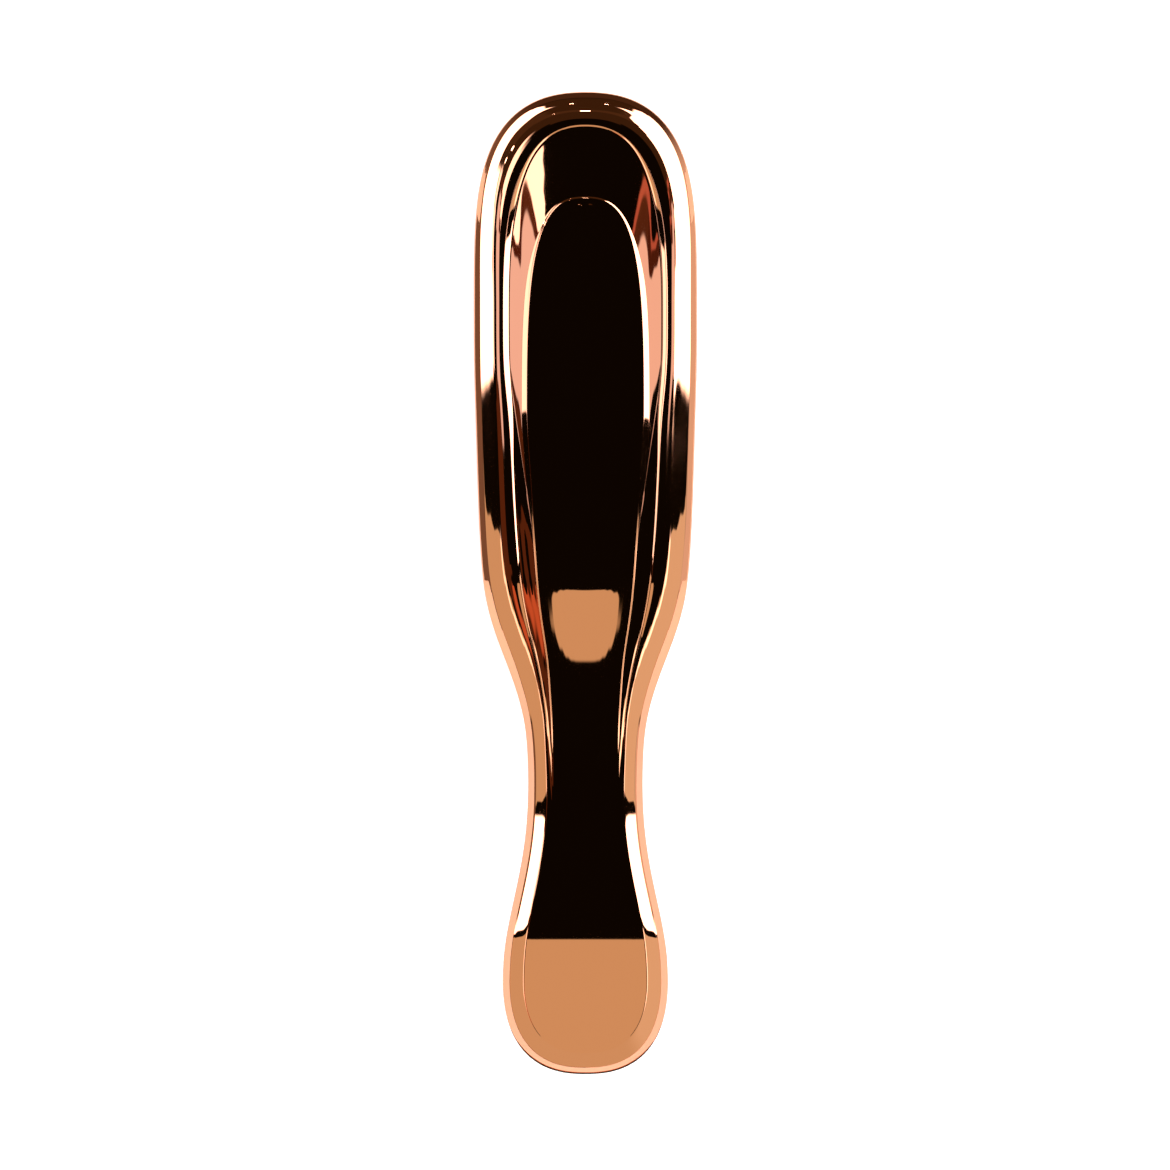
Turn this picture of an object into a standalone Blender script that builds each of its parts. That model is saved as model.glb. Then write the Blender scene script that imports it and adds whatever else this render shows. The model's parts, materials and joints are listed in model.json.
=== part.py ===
"""An oval hair brush with an air cushion, lying on its pins with its back up.

The bright-plated body is two thin mouldings that meet at a level parting line. The
front moulding holds a rubber cushion, clamped behind its rim by a screwed tray, and
seven moulded strips of ball-tipped nylon pins stand through the cushion. +Z is up,
+Y points to the top of the head, and the origin is on the ground under the middle of
the brush. Lengths are in metres.
"""

import math

import bmesh
import bpy
import numpy as np

# Outline of the body in plan, from the tip of the head to the end of the handle
HEAD_WIDTH = 0.0522
WAIST_WIDTH = 0.0268
HANDLE_WIDTH = 0.0390
HEAD_TOP_LENGTH = 0.053
HEAD_FOOT_LENGTH = 0.108
HANDLE_SWELL_LENGTH = 0.045
HANDLE_END_LENGTH = 0.024
HEAD_TOP_POWERS = (2.4, 4.0)
HANDLE_END_POWERS = (2.5, 2.6)
HANDLE_SWELL_POWER = 1.3
HEAD_FOOT_SHARES = (
    (0.0, 1.0),
    (0.2, 0.97),
    (0.4, 0.937),
    (0.5, 0.89),
    (0.59, 0.815),
    (0.67, 0.645),
    (0.76, 0.35),
    (0.81, 0.2),
    (0.89, 0.04),
    (1.0, 0.0),
)

# Lines on the back: the crest round its edge, and the edge of the raised tongue
CREST_TIP_INSET = 0.0082
CREST_END_INSET = 0.0055
CREST_TOP_POWERS = (2.4, 2.9)
CREST_WIDTH_SHARES = (
    (0.0, 0.73),
    (0.15, 0.69),
    (0.37, 0.645),
    (0.49, 0.612),
    (0.6, 0.655),
    (0.66, 0.675),
    (0.72, 0.655),
    (0.83, 0.69),
    (0.91, 0.73),
    (1.0, 0.735),
)
TONGUE_TIP_INSET = 0.0252
TONGUE_TOP_LENGTH = 0.0508
TONGUE_END_INSET = 0.0105
TONGUE_EDGE_WIDTH = 0.0010
TONGUE_TOP_POWERS = (3.0, 3.2)
TONGUE_WIDTH_SHARES = (
    (0.0, 0.53),
    (0.145, 0.53),
    (0.25, 0.5),
    (0.43, 0.457),
    (0.5, 0.453),
    (0.6, 0.53),
    (0.68, 0.56),
    (0.83, 0.55),
    (1.0, 0.58),
)

# Heights of the body
FRONT_DEPTH = 0.0066
BACK_DEPTH = 0.0144
BACK_FALL = 0.0042
FALL_START = 0.059
FALL_LENGTH = 0.058
FALL_SHARES = (
    (0.0, 0.0),
    (0.03, 0.011),
    (0.069, 0.06),
    (0.12, 0.158),
    (0.224, 0.365),
    (0.345, 0.584),
    (0.517, 0.81),
    (0.724, 0.943),
    (1.0, 1.0),
)
HEAD_ARCH = 0.0007
END_DROOP = 0.0042
END_DROOP_LENGTH = 0.041
END_DROOP_SHARES = (
    (0.0, 0.0),
    (0.085, 0.02),
    (0.171, 0.0815),
    (0.268, 0.183),
    (0.634, 0.591),
    (1.0, 1.0),
)
EDGE_HEIGHT = 0.005
EDGE_CHANGE_START = 0.049
EDGE_CHANGE_LENGTH = 0.046
HEAD_EDGE_SHARES = (
    (0.04, 0.73),
    (0.234, 0.454),
    (0.631, 0.0994),
    (0.766, 0.03),
    (0.9, 0.004),
    (1.0, 0.0008),
)
HANDLE_EDGE_SHARES = (
    (0.05, 0.94),
    (0.3, 0.46),
    (0.68, 0.168),
    (0.85, 0.061),
    (0.965, 0.009),
    (1.0, 0.0),
)
GROOVE_DEPTH = 0.00055
TONGUE_RISE = 0.00064
TONGUE_CROWN = 0.0005
GROOVE_DEPTH_SHARES = (
    (0.0, 1.0),
    (0.11, 0.9),
    (0.17, 0.8),
    (0.37, 0.7),
    (0.5, 0.5),
    (0.56, 0.4),
    (0.63, 0.18),
    (0.71, 0.0),
    (1.0, 0.0),
)
GROOVE_PROFILE_SHARES = ((0.12, 0.5), (0.25, 1.0), (0.75, 0.1))
TONGUE_CROWN_SHARES = (
    (0.0, 0.0),
    (0.36, 0.0),
    (0.45, 1.0),
    (0.56, 1.0),
    (0.75, 0.3),
    (1.0, 0.3),
)
GROOVE_TIP_SHARE = 0.3

# Front moulding's outside, as places between the outline and the flat front
FRONT_EDGE_WIDTH = 0.0033
FRONT_EDGE_HEIGHT = 0.0024
HANDLE_FRONT_WIDTH = 0.0062
HANDLE_FRONT_HEIGHT = 0.0034
FRONT_EDGE_SHARES = ((0.05, 1.0), (0.24, 0.5), (0.55, 0.16), (1.0, 0.0))
FLOOR_EDGE_SHARE = 0.6
FRONT_FALL_START = 0.064
FRONT_FALL_LENGTH = 0.026

# Walls of both mouldings and the lip that laps inside the parting line
WALL = 0.0020
ROOF = 0.0017
LIP_HEIGHT = 0.0010
LIP_THICKNESS = 0.0008
GAP = 0.0003
OVERRUN = 0.0010

# Locating pegs in the handle
PEG_PLACE_SHARES = (0.33, 0.82)
PEG_RADIUS = 0.0014
PEG_WALL = 0.0012
PEG_ENGAGEMENT = 0.0030

# Rubber cushion in the opening of the head
OPENING_LENGTH = 0.102
RIM_WIDTH = 0.0061
OPENING_TIP_INSET = 0.0115
OPENING_POWER = 2.4
CUSHION_CROWN = 0.0030
CUSHION_INSET = 0.0003
CUSHION_SHEET = 0.0013
CUSHION_SHOULDER = 0.0012
FLANGE_WIDTH = 0.0022
CROWN_ACROSS_POWER = 2.2
CROWN_ALONG_POWER = 6.0
DOME_SHARES = (0.9, 0.75, 0.55, 0.3, 0.0)
VENT_RADIUS = 0.0007

# Nylon pins, moulded in strips
ROW_SPACING = 0.0048
PIN_PITCH = 0.0070
PIN_REACH = 0.0130
PIN_ROOT_RADIUS = 0.00070
PIN_NECK_RADIUS = 0.00055
PIN_BALL_RADIUS = 0.00095
PIN_BALL_ANGLES = (12, -45)
PIN_SIDES = 6
PIN_EDGE_CLEARANCE = 0.0036
RAIL_WIDTH = 0.0020
RAIL_HEIGHT = 0.0010
RAIL_GAP = 0.0008
PRESS_TRAVEL = 0.0030

# Tray behind the cushion and its screws
TRAY_WALL = 0.0014
TRAY_CLEARANCE = 0.0006
TRAY_FLANGE = 0.0006
EAR_RADIUS = 0.0030
BOSS_RADIUS = 0.0022
FOOT_EAR_SPREAD = 0.0140
SCREW_RADIUS = 0.0009
SCREW_LENGTH = 0.0040
SCREW_HEAD_RADIUS = 0.0019
SCREW_HEAD_HEIGHT = 0.0012
SCREW_FACE_SHARE = 0.6
SCREW_RIM_SHARE = 0.45
SKIN_LEFT = 0.0013

# Fineness of the surfaces
TOP_STEPS = 9
SIDE_STEPS = 19
END_STEPS = 7
OVAL_STEPS = 40
ROUND_SIDES = 18
CURVE_SAMPLES = 240
SEAM_TURN = math.radians(4.0)
WELD = 0.000002

# Places that follow from the sizes above
TIP_Y = (HEAD_TOP_LENGTH + HEAD_FOOT_LENGTH + HANDLE_SWELL_LENGTH + HANDLE_END_LENGTH) / 2
HEAD_Y = TIP_Y - HEAD_TOP_LENGTH
WAIST_Y = HEAD_Y - HEAD_FOOT_LENGTH
SWELL_Y = WAIST_Y - HANDLE_SWELL_LENGTH
END_Y = SWELL_Y - HANDLE_END_LENGTH
TONGUE_Y = TIP_Y - TONGUE_TIP_INSET - TONGUE_TOP_LENGTH
CUSHION_Y = TIP_Y - OPENING_TIP_INSET - OPENING_LENGTH / 2
OPENING_WIDTH = HEAD_WIDTH - 2 * RIM_WIDTH
SPINE_SHARE = 1 - OPENING_WIDTH / OPENING_LENGTH
ROW_COUNT = 2 * int((OPENING_WIDTH / 2 - PIN_EDGE_CLEARANCE) / ROW_SPACING) + 1
DOME_EDGE_Z = PIN_REACH + CUSHION_CROWN
FRONT_Z = DOME_EDGE_Z - CUSHION_INSET
FLOOR_Z = FRONT_Z + WALL
PARTING_Z = FRONT_Z + FRONT_DEPTH
FLANGE_Z = FLOOR_Z + GAP
EAR_Z = FLANGE_Z + CUSHION_SHEET + GAP

PLATED = ((0.95, 0.38, 0.15), 1.0, 0.05)
RUBBER = ((0.02, 0.02, 0.02), 0.0, 0.6)
NYLON = ((0.015, 0.015, 0.015), 0.0, 0.35)
TRAY_PLASTIC = ((0.05, 0.05, 0.05), 0.0, 0.5)
STEEL = ((0.6, 0.6, 0.62), 1.0, 0.3)


def smooth(share):
    """0 to 1 with level ends."""
    share = np.clip(share, 0.0, 1.0)
    return share * share * (3 - 2 * share)


def mix(first, second, share):
    return first + (second - first) * share


def read_shares(shares, place):
    """A table of shares read as one smooth line that never overshoots its points."""
    places, values = np.array(shares).T
    rise = np.diff(values) / np.diff(places)
    slope = np.zeros(len(values))
    same = rise[:-1] * rise[1:] > 0
    slope[1:-1][same] = 2 / (1 / rise[:-1][same] + 1 / rise[1:][same])
    index = np.clip(np.searchsorted(places, place) - 1, 0, len(rise) - 1)
    width = places[index + 1] - places[index]
    part = np.clip((place - places[index]) / width, 0.0, 1.0)
    bend = part * (1 - part) * width
    start = slope[index] - rise[index]
    finish = slope[index + 1] - rise[index]
    line = mix(values[index], values[index + 1], part)
    return line + bend * (start * (1 - part) - finish * part)


def side_place(y):
    """How far along the sides a place is, from the head's widest point to the handle's."""
    return np.clip((HEAD_Y - y) / (HEAD_Y - SWELL_Y), 0.0, 1.0)


def outline_side(y):
    """Half the width of the body between the head's widest point and the handle's."""
    foot = read_shares(HEAD_FOOT_SHARES, np.clip((HEAD_Y - y) / HEAD_FOOT_LENGTH, 0.0, 1.0))
    swell = smooth(np.clip((WAIST_Y - y) / HANDLE_SWELL_LENGTH, 0.0, 1.0) ** HANDLE_SWELL_POWER)
    head = (HEAD_WIDTH - WAIST_WIDTH) / 2 * foot
    handle = (HANDLE_WIDTH - WAIST_WIDTH) / 2 * swell
    return WAIST_WIDTH / 2 + head + handle


def crest_side(y):
    return outline_side(y) * read_shares(CREST_WIDTH_SHARES, side_place(y))


def tongue_side(y):
    return outline_side(y) * read_shares(TONGUE_WIDTH_SHARES, side_place(y))


def resample(points, steps):
    """Points at even steps along a line."""
    lengths = np.hypot(*np.diff(points, axis=0).T)
    along = np.concatenate([[0.0], np.cumsum(lengths)])
    wanted = np.linspace(0.0, along[-1], steps + 1)
    return np.column_stack([np.interp(wanted, along, points[:, axis]) for axis in (0, 1)])


def round_end(width, start_y, end_y, powers):
    """The end of a line that bulges from its widest point to the middle of the brush."""
    turn = np.linspace(0.0, math.pi / 2, CURVE_SAMPLES)
    across = width * np.cos(turn) ** (2 / powers[0])
    along = mix(start_y, end_y, np.sin(turn) ** (2 / powers[1]))
    across[-1] = 0.0
    return np.column_stack([across, along])


def half_line(side, tip_y, wide_y, end_y, top_powers):
    """Stations along the right half of a line round the body, from its tip to its end."""
    top = round_end(side(wide_y), wide_y, tip_y, top_powers)[::-1]
    places = np.linspace(wide_y, SWELL_Y, CURVE_SAMPLES)
    middle = np.column_stack([side(places), places])
    end = round_end(side(SWELL_Y), SWELL_Y, end_y, HANDLE_END_POWERS)
    parts = [resample(top, TOP_STEPS), resample(middle, SIDE_STEPS), resample(end, END_STEPS)]
    return np.concatenate([parts[0], parts[1][1:], parts[2][1:]])


def inward(line, distance):
    """The same stations moved in square to the line, with its two ends kept on the middle."""
    ahead = np.gradient(line, axis=0)
    ahead[0] = (1.0, 0.0)
    ahead[-1] = (-1.0, 0.0)
    ahead /= np.hypot(*ahead.T)[:, None]
    square = np.column_stack([ahead[:, 1], -ahead[:, 0]])
    moved = line + square * np.reshape(distance, (-1, 1))
    moved[[0, -1], 0] = 0.0
    return moved


OUTLINE = half_line(outline_side, TIP_Y, HEAD_Y, END_Y, HEAD_TOP_POWERS)
CREST = half_line(crest_side, TIP_Y - CREST_TIP_INSET, HEAD_Y, END_Y + CREST_END_INSET, CREST_TOP_POWERS)
TONGUE = half_line(
    tongue_side, TIP_Y - TONGUE_TIP_INSET, TONGUE_Y, END_Y + TONGUE_END_INSET, TONGUE_TOP_POWERS
)
STATIONS = len(OUTLINE)


def fall_share(y):
    """0 on the head and 1 on the handle, where the back has come down to it."""
    return read_shares(FALL_SHARES, np.clip((HEAD_Y - FALL_START - y) / FALL_LENGTH, 0.0, 1.0))


def edge_share(y):
    """0 where the back's edge has the head's shape and 1 where it has the handle's."""
    return smooth((HEAD_Y - EDGE_CHANGE_START - y) / EDGE_CHANGE_LENGTH)


def front_fall_share(y):
    return smooth((HEAD_Y - FRONT_FALL_START - y) / FRONT_FALL_LENGTH)


def crest_height(y):
    """Height of the back's crest, along the brush."""
    arch = HEAD_ARCH * np.clip((y - HEAD_Y) / HEAD_TOP_LENGTH, 0.0, 1.0) ** 2
    past = np.clip(1 - (y - END_Y) / END_DROOP_LENGTH, 0.0, 1.0)
    droop = END_DROOP * read_shares(END_DROOP_SHARES, past)
    return PARTING_Z + BACK_DEPTH - BACK_FALL * fall_share(y) - arch - droop


def lifted(line, height):
    """Stations in plan, given their heights."""
    return np.column_stack([line, np.broadcast_to(height, len(line))])


def middle_line(ring, rise):
    """A ring's own stations brought onto the middle of the brush and raised."""
    line = ring.copy()
    line[1:-1, 0] = 0.0
    line[1:-1, 2] += rise
    return line


def back_rings():
    """Half rings over the outside of the back, from the parting line to the middle."""
    rings = [lifted(OUTLINE, PARTING_Z)]
    share = edge_share(OUTLINE[:, 1])
    for (head_in, head_drop), (handle_in, handle_drop) in zip(HEAD_EDGE_SHARES, HANDLE_EDGE_SHARES):
        line = mix(OUTLINE, CREST, mix(head_in, handle_in, share)[:, None])
        line[[0, -1], 0] = 0.0
        drop = EDGE_HEIGHT * mix(head_drop, handle_drop, share)
        rings.append(lifted(line, crest_height(line[:, 1]) - drop))
    side_wall = mix(rings[0], rings[1], 0.5)
    rings.insert(1, side_wall)
    kept = mix(1.0, GROOVE_TIP_SHARE, smooth(1 - np.arange(STATIONS) / TOP_STEPS))
    for place, depth in GROOVE_PROFILE_SHARES:
        line = mix(CREST, TONGUE, place)
        line[[0, -1], 0] = 0.0
        fade = kept * read_shares(GROOVE_DEPTH_SHARES, side_place(line[:, 1]))
        rings.append(lifted(line, crest_height(line[:, 1]) - GROOVE_DEPTH * depth * fade))
    for line in (TONGUE, inward(TONGUE, TONGUE_EDGE_WIDTH)):
        fade = kept * read_shares(GROOVE_DEPTH_SHARES, side_place(line[:, 1]))
        rings.append(lifted(line, crest_height(line[:, 1]) + TONGUE_RISE * fade))
    crown = TONGUE_CROWN * read_shares(TONGUE_CROWN_SHARES, side_place(TONGUE[:, 1]))
    rings.append(middle_line(rings[-1], crown[1:-1]))
    return rings


def back_inside_rings():
    """Half rings under the back's roof, from the middle to the parting line."""
    groove = crest_height(CREST[:, 1]) - GROOVE_DEPTH * read_shares(
        GROOVE_DEPTH_SHARES, side_place(CREST[:, 1])
    )
    roof = lifted(inward(OUTLINE, 2 * WALL), groove - ROOF)
    corner = lifted(inward(OUTLINE, WALL + OVERRUN / 2), groove - ROOF - OVERRUN)
    seat_height = PARTING_Z + LIP_HEIGHT + GAP
    ledge = lifted(inward(OUTLINE, WALL), seat_height)
    seat_top = lifted(inward(OUTLINE, WALL - LIP_THICKNESS - GAP), seat_height)
    seat_foot = lifted(inward(OUTLINE, WALL - LIP_THICKNESS - GAP), PARTING_Z)
    return [middle_line(roof, 0.0), roof, corner, ledge, seat_top, seat_foot]


def front_rings():
    """Half rings of the whole front moulding, from the middle outside to the middle inside."""
    share = front_fall_share(OUTLINE[:, 1])
    width = mix(FRONT_EDGE_WIDTH, HANDLE_FRONT_WIDTH, share)
    height = mix(FRONT_EDGE_HEIGHT, HANDLE_FRONT_HEIGHT, share)
    rings = [lifted(OUTLINE, PARTING_Z - GAP)]
    for place, drop in FRONT_EDGE_SHARES:
        rings.append(lifted(inward(OUTLINE, width * place), FRONT_Z + height * drop))
    rings.append(middle_line(rings[-1], 0.0))
    rings.reverse()
    lip_out = inward(OUTLINE, WALL - LIP_THICKNESS)
    lip_in = inward(OUTLINE, WALL)
    rings.append(lifted(lip_out, PARTING_Z - GAP))
    rings.append(lifted(lip_out, PARTING_Z + LIP_HEIGHT))
    rings.append(lifted(lip_in, PARTING_Z + LIP_HEIGHT))
    rings.append(lifted(inward(OUTLINE, WALL + OVERRUN / 2), FLOOR_Z + height))
    floor_line = inward(OUTLINE, width * FLOOR_EDGE_SHARE + OVERRUN)
    rings.append(lifted(floor_line, FLOOR_Z))
    rings.append(middle_line(rings[-1], 0.0))
    return rings


def new_collection(name, visible):
    collection = bpy.data.collections.new(name)
    bpy.context.scene.collection.children.link(collection)
    collection.hide_render = not visible
    return collection


def make_material(name, look):
    material = bpy.data.materials.new(name)
    material.use_nodes = True
    shader = material.node_tree.nodes["Principled BSDF"]
    shader.inputs["Base Color"].default_value = (*look[0], 1.0)
    shader.inputs["Metallic"].default_value = look[1]
    shader.inputs["Roughness"].default_value = look[2]
    return material


def add_object(name, mesh, collection, look=None, place=(0.0, 0.0, 0.0)):
    thing = bpy.data.objects.new(name, mesh)
    thing.location = place
    collection.objects.link(thing)
    if look:
        mesh.materials.append(make_material(name + "_material", look))
    return thing


def lofted(name, rings, closed=False):
    """A skin through rings of stations, with the stations that coincide made one."""
    shape = bmesh.new()
    rows = [[shape.verts.new(point) for point in ring] for ring in rings]
    count = len(rows[0])
    for first, second in zip(rows, rows[1:]):
        for index in range(count if closed else count - 1):
            after = (index + 1) % count
            shape.faces.new((first[index], second[index], second[after], first[after]))
    bmesh.ops.remove_doubles(shape, verts=shape.verts, dist=GAP / 1000)
    if closed:
        bmesh.ops.recalc_face_normals(shape, faces=shape.faces)
    mesh = bpy.data.meshes.new(name)
    shape.to_mesh(mesh)
    shape.free()
    mesh.shade_smooth()
    mesh.set_sharp_from_angle(angle=math.radians(40))
    return mesh


def mirror(thing):
    modifier = thing.modifiers.new("other_half", "MIRROR")
    modifier.use_axis = (True, False, False)
    modifier.merge_threshold = 0.00001


def combine(thing, other, operation):
    modifier = thing.modifiers.new(other.name, "BOOLEAN")
    modifier.operation = operation
    modifier.solver = "EXACT"
    modifier.object = other
    weld = thing.modifiers.new("weld_" + other.name, "WELD")
    weld.merge_threshold = WELD


def helper(name, mesh, place=(0.0, 0.0, 0.0)):
    thing = add_object(name, mesh, CUTTERS, None, place)
    thing.hide_render = True
    thing.display_type = "WIRE"
    return thing


def turned(name, profile, sides, place=(0.0, 0.0, 0.0)):
    """A turned helper, from a profile that runs down its outer side."""
    mesh = bpy.data.meshes.new(name)
    edges = [(index, index + 1) for index in range(len(profile) - 1)]
    ahead, aside = math.cos(SEAM_TURN), math.sin(SEAM_TURN)
    points = [(radius * ahead, radius * aside, height) for radius, height in profile]
    mesh.from_pydata(points, edges, [])
    thing = helper(name, mesh, place)
    modifier = thing.modifiers.new("turn", "SCREW")
    modifier.steps = sides
    modifier.render_steps = sides
    modifier.use_merge_vertices = True
    modifier.merge_threshold = 0.00001
    return thing


def evaluated_mesh(thing):
    bpy.context.view_layer.update()
    graph = bpy.context.evaluated_depsgraph_get()
    return bpy.data.meshes.new_from_object(thing.evaluated_get(graph))


def rod_mesh(name, radius, top, foot, sides=ROUND_SIDES):
    profile = ((0.0, top), (radius, top), (radius, foot), (0.0, foot))
    return evaluated_mesh(turned(name + "_shape", profile, sides))


def spread(name, copies):
    """Meshes at their places, as one helper mesh."""
    shape = bmesh.new()
    for mesh, place in copies:
        before = len(shape.verts)
        shape.from_mesh(mesh)
        shape.verts.ensure_lookup_table()
        bmesh.ops.translate(shape, verts=shape.verts[before:], vec=place)
    joined = bpy.data.meshes.new(name)
    shape.to_mesh(joined)
    shape.free()
    return joined


def rods(name, radius, top, foot, places, sides=ROUND_SIDES):
    """One helper that holds an upright rod at each place."""
    mesh = rod_mesh(name, radius, top, foot, sides)
    return helper(name, spread(name, [(mesh, (*place, 0.0)) for place in places]))


def oval(grow, height, share=1.0):
    """A ring of stations on the cushion's oval, moved out square to its axes."""
    turn = np.linspace(0.0, 2 * math.pi, OVAL_STEPS, endpoint=False)
    power = 2 / OPENING_POWER
    across = np.sign(np.cos(turn)) * np.abs(np.cos(turn)) ** power
    along = np.sign(np.sin(turn)) * np.abs(np.sin(turn)) ** power
    half_width = OPENING_WIDTH / 2 + grow
    half_length = OPENING_LENGTH / 2 + grow
    x = half_width * across * share
    y = CUSHION_Y + half_length * along * mix(SPINE_SHARE, 1.0, share)
    return np.column_stack([x, y, np.broadcast_to(height, OVAL_STEPS)])


def dome_share(x, y):
    """1 at the top of the cushion's crown, and 0 at its edge."""
    across = np.clip(np.abs(x) / (OPENING_WIDTH / 2), 0.0, 1.0) ** CROWN_ACROSS_POWER
    along = np.clip(np.abs(y - CUSHION_Y) / (OPENING_LENGTH / 2), 0.0, 1.0) ** CROWN_ALONG_POWER
    return (1 - across) * (1 - along)


def dome_ring(grow, share, lift):
    ring = oval(grow, 0.0, share)
    ring[:, 2] = DOME_EDGE_Z + lift - CUSHION_CROWN * dome_share(ring[:, 0], ring[:, 1])
    return ring


def cushion_rings():
    """Rings over the front of the rubber cushion, round its flange and back over its inside."""
    side = -GAP
    inner = side - CUSHION_SHEET
    rings = [dome_ring(side - CUSHION_SHOULDER, share, 0.0) for share in reversed(DOME_SHARES)]
    rings.append(dome_ring(side - CUSHION_SHOULDER / 2, 1.0, 0.0))
    rings.append(oval(side, DOME_EDGE_Z + CUSHION_SHOULDER / 2))
    rings.append(oval(side, FLANGE_Z))
    rings.append(oval(FLANGE_WIDTH, FLANGE_Z))
    rings.append(oval(FLANGE_WIDTH, FLANGE_Z + CUSHION_SHEET))
    rings.append(oval(inner, FLANGE_Z + CUSHION_SHEET))
    rings.append(oval(inner, DOME_EDGE_Z + CUSHION_SHEET + CUSHION_SHOULDER / 2))
    for share in DOME_SHARES:
        rings.append(dome_ring(inner - CUSHION_SHOULDER / 2, share, CUSHION_SHEET))
    return rings


def pin_rows():
    """Each row's place across the cushion, and its pins' places along it."""
    rows = []
    for row in range(ROW_COUNT):
        x = (row - (ROW_COUNT - 1) / 2) * ROW_SPACING
        across = abs(x) / (OPENING_WIDTH / 2 - PIN_EDGE_CLEARANCE)
        reach = (1 - across**OPENING_POWER) ** (1 / OPENING_POWER)
        half = (OPENING_LENGTH / 2 - PIN_EDGE_CLEARANCE) * reach
        shift = ((row - (ROW_COUNT - 1) // 2) % 2) / 2
        places = []
        for step in range(-int(half / PIN_PITCH) - 1, int(half / PIN_PITCH) + 2):
            y = (step + shift) * PIN_PITCH
            if abs(y) <= half:
                places.append(y)
        rows.append((x, places))
    return rows


def rail_height(x, y):
    """Underside of a strip, whose outer edge just clears the cushion's inside."""
    dome = CUSHION_CROWN * dome_share(abs(x) + RAIL_WIDTH / 2, CUSHION_Y + y)
    return DOME_EDGE_Z + CUSHION_SHEET + RAIL_GAP - dome


def rail_mesh(name, x, places):
    """A strip of rectangular section that follows the crown along its row."""
    end = RAIL_WIDTH / 2
    stops = sorted([places[0] - end, places[-1] + end] + places[::2])
    rings = []
    for y in stops:
        foot = rail_height(x, y)
        head = foot + RAIL_HEIGHT
        rings.append([(-end, y, foot), (end, y, foot), (end, y, head), (-end, y, head)])
    shape = bmesh.new()
    rows = [[shape.verts.new(point) for point in ring] for ring in rings]
    for first, second in zip(rows, rows[1:]):
        for index in range(4):
            after = (index + 1) % 4
            shape.faces.new((first[index], first[after], second[after], second[index]))
    shape.faces.new(rows[0][::-1])
    shape.faces.new(rows[-1])
    bmesh.ops.recalc_face_normals(shape, faces=shape.faces)
    mesh = bpy.data.meshes.new(name)
    shape.to_mesh(mesh)
    shape.free()
    return mesh


def pin_profile():
    """A pin turned about its own axis, from its root in the strip to the foot of its ball."""
    root = PIN_REACH + CUSHION_SHEET + RAIL_GAP + RAIL_HEIGHT / 2
    ball = PIN_BALL_RADIUS
    profile = [(0.0, root), (PIN_ROOT_RADIUS, root), (PIN_NECK_RADIUS, ball * 2)]
    for angle in PIN_BALL_ANGLES:
        turn = math.radians(angle)
        profile.append((ball * math.cos(turn), ball + ball * math.sin(turn)))
    profile.append((0.0, 0.0))
    return profile


def add_pin_rows(cushion):
    """The strips of pins, and the holes that they pass through in the cushion."""
    pin = turned("pin_shape", pin_profile(), PIN_SIDES)
    pin_mesh = evaluated_mesh(pin)
    foot = PIN_REACH - OVERRUN
    head = DOME_EDGE_Z + CUSHION_SHEET + RAIL_HEIGHT
    holes = []
    for number, (x, places) in enumerate(pin_rows(), 1):
        name = f"pin_row_{number}"
        spots = []
        for y in places:
            raised = rail_height(x, y) - (PIN_REACH + CUSHION_SHEET + RAIL_GAP)
            spots.append((pin_mesh, (0.0, y, raised)))
            holes.append((x, CUSHION_Y + y))
        origin = (x, CUSHION_Y, 0.0)
        pins = helper(name + "_pins", spread(name + "_pins", spots), origin)
        row = add_object(name, rail_mesh(name, x, places), PARTS, NYLON, origin)
        combine(row, pins, "UNION")
    vent = (ROW_SPACING / 2, CUSHION_Y - PIN_PITCH / 4)
    combine(cushion, rods("pin_holes", PIN_ROOT_RADIUS + GAP, head, foot, holes, 6), "DIFFERENCE")
    combine(cushion, rods("vent_hole", VENT_RADIUS, head, foot, [vent], 6), "DIFFERENCE")


def chamber_height():
    """How far up the strips reach when the cushion is pressed flat."""
    tops = []
    for x, places in pin_rows():
        ratio = 1 - (abs(x) / (OPENING_WIDTH / 2)) ** CROWN_ACROSS_POWER
        ends = max(rail_height(x, places[0]), rail_height(x, places[-1]))
        tops.append(ends + RAIL_HEIGHT + PRESS_TRAVEL * ratio)
    return max(tops)


def tray_rings():
    """Rings of the tray that clamps the cushion and closes its air chamber."""
    under = max(chamber_height() + TRAY_CLEARANCE, EAR_Z + TRAY_WALL + OVERRUN)
    inner = -GAP - CUSHION_SHEET
    outer = FLANGE_WIDTH + TRAY_FLANGE
    rings = [oval(inner - TRAY_WALL, under, share) for share in (0.0, 1.0)]
    rings.append(oval(inner, under - TRAY_WALL))
    rings.append(oval(inner, EAR_Z))
    rings.append(oval(outer, EAR_Z))
    rings.append(oval(outer, EAR_Z + TRAY_WALL))
    rings.append(oval(inner + TRAY_WALL, EAR_Z + TRAY_WALL))
    rings.append(oval(inner + TRAY_WALL, under))
    rings.append(oval(inner, under + TRAY_WALL))
    rings.append(oval(inner, under + TRAY_WALL, 0.0))
    return rings


def ear_places():
    """Centres of the tray's screws: one past the top of the cushion and two past its foot."""
    out = FLANGE_WIDTH + 2 * GAP + BOSS_RADIUS
    across = FOOT_EAR_SPREAD / OPENING_WIDTH
    foot = OPENING_LENGTH / 2 * (1 - across**OPENING_POWER) ** (1 / OPENING_POWER)
    half = FOOT_EAR_SPREAD / 2
    return [
        (0.0, CUSHION_Y + OPENING_LENGTH / 2 + out),
        (-half, CUSHION_Y - foot - out),
        (half, CUSHION_Y - foot - out),
    ]


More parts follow.
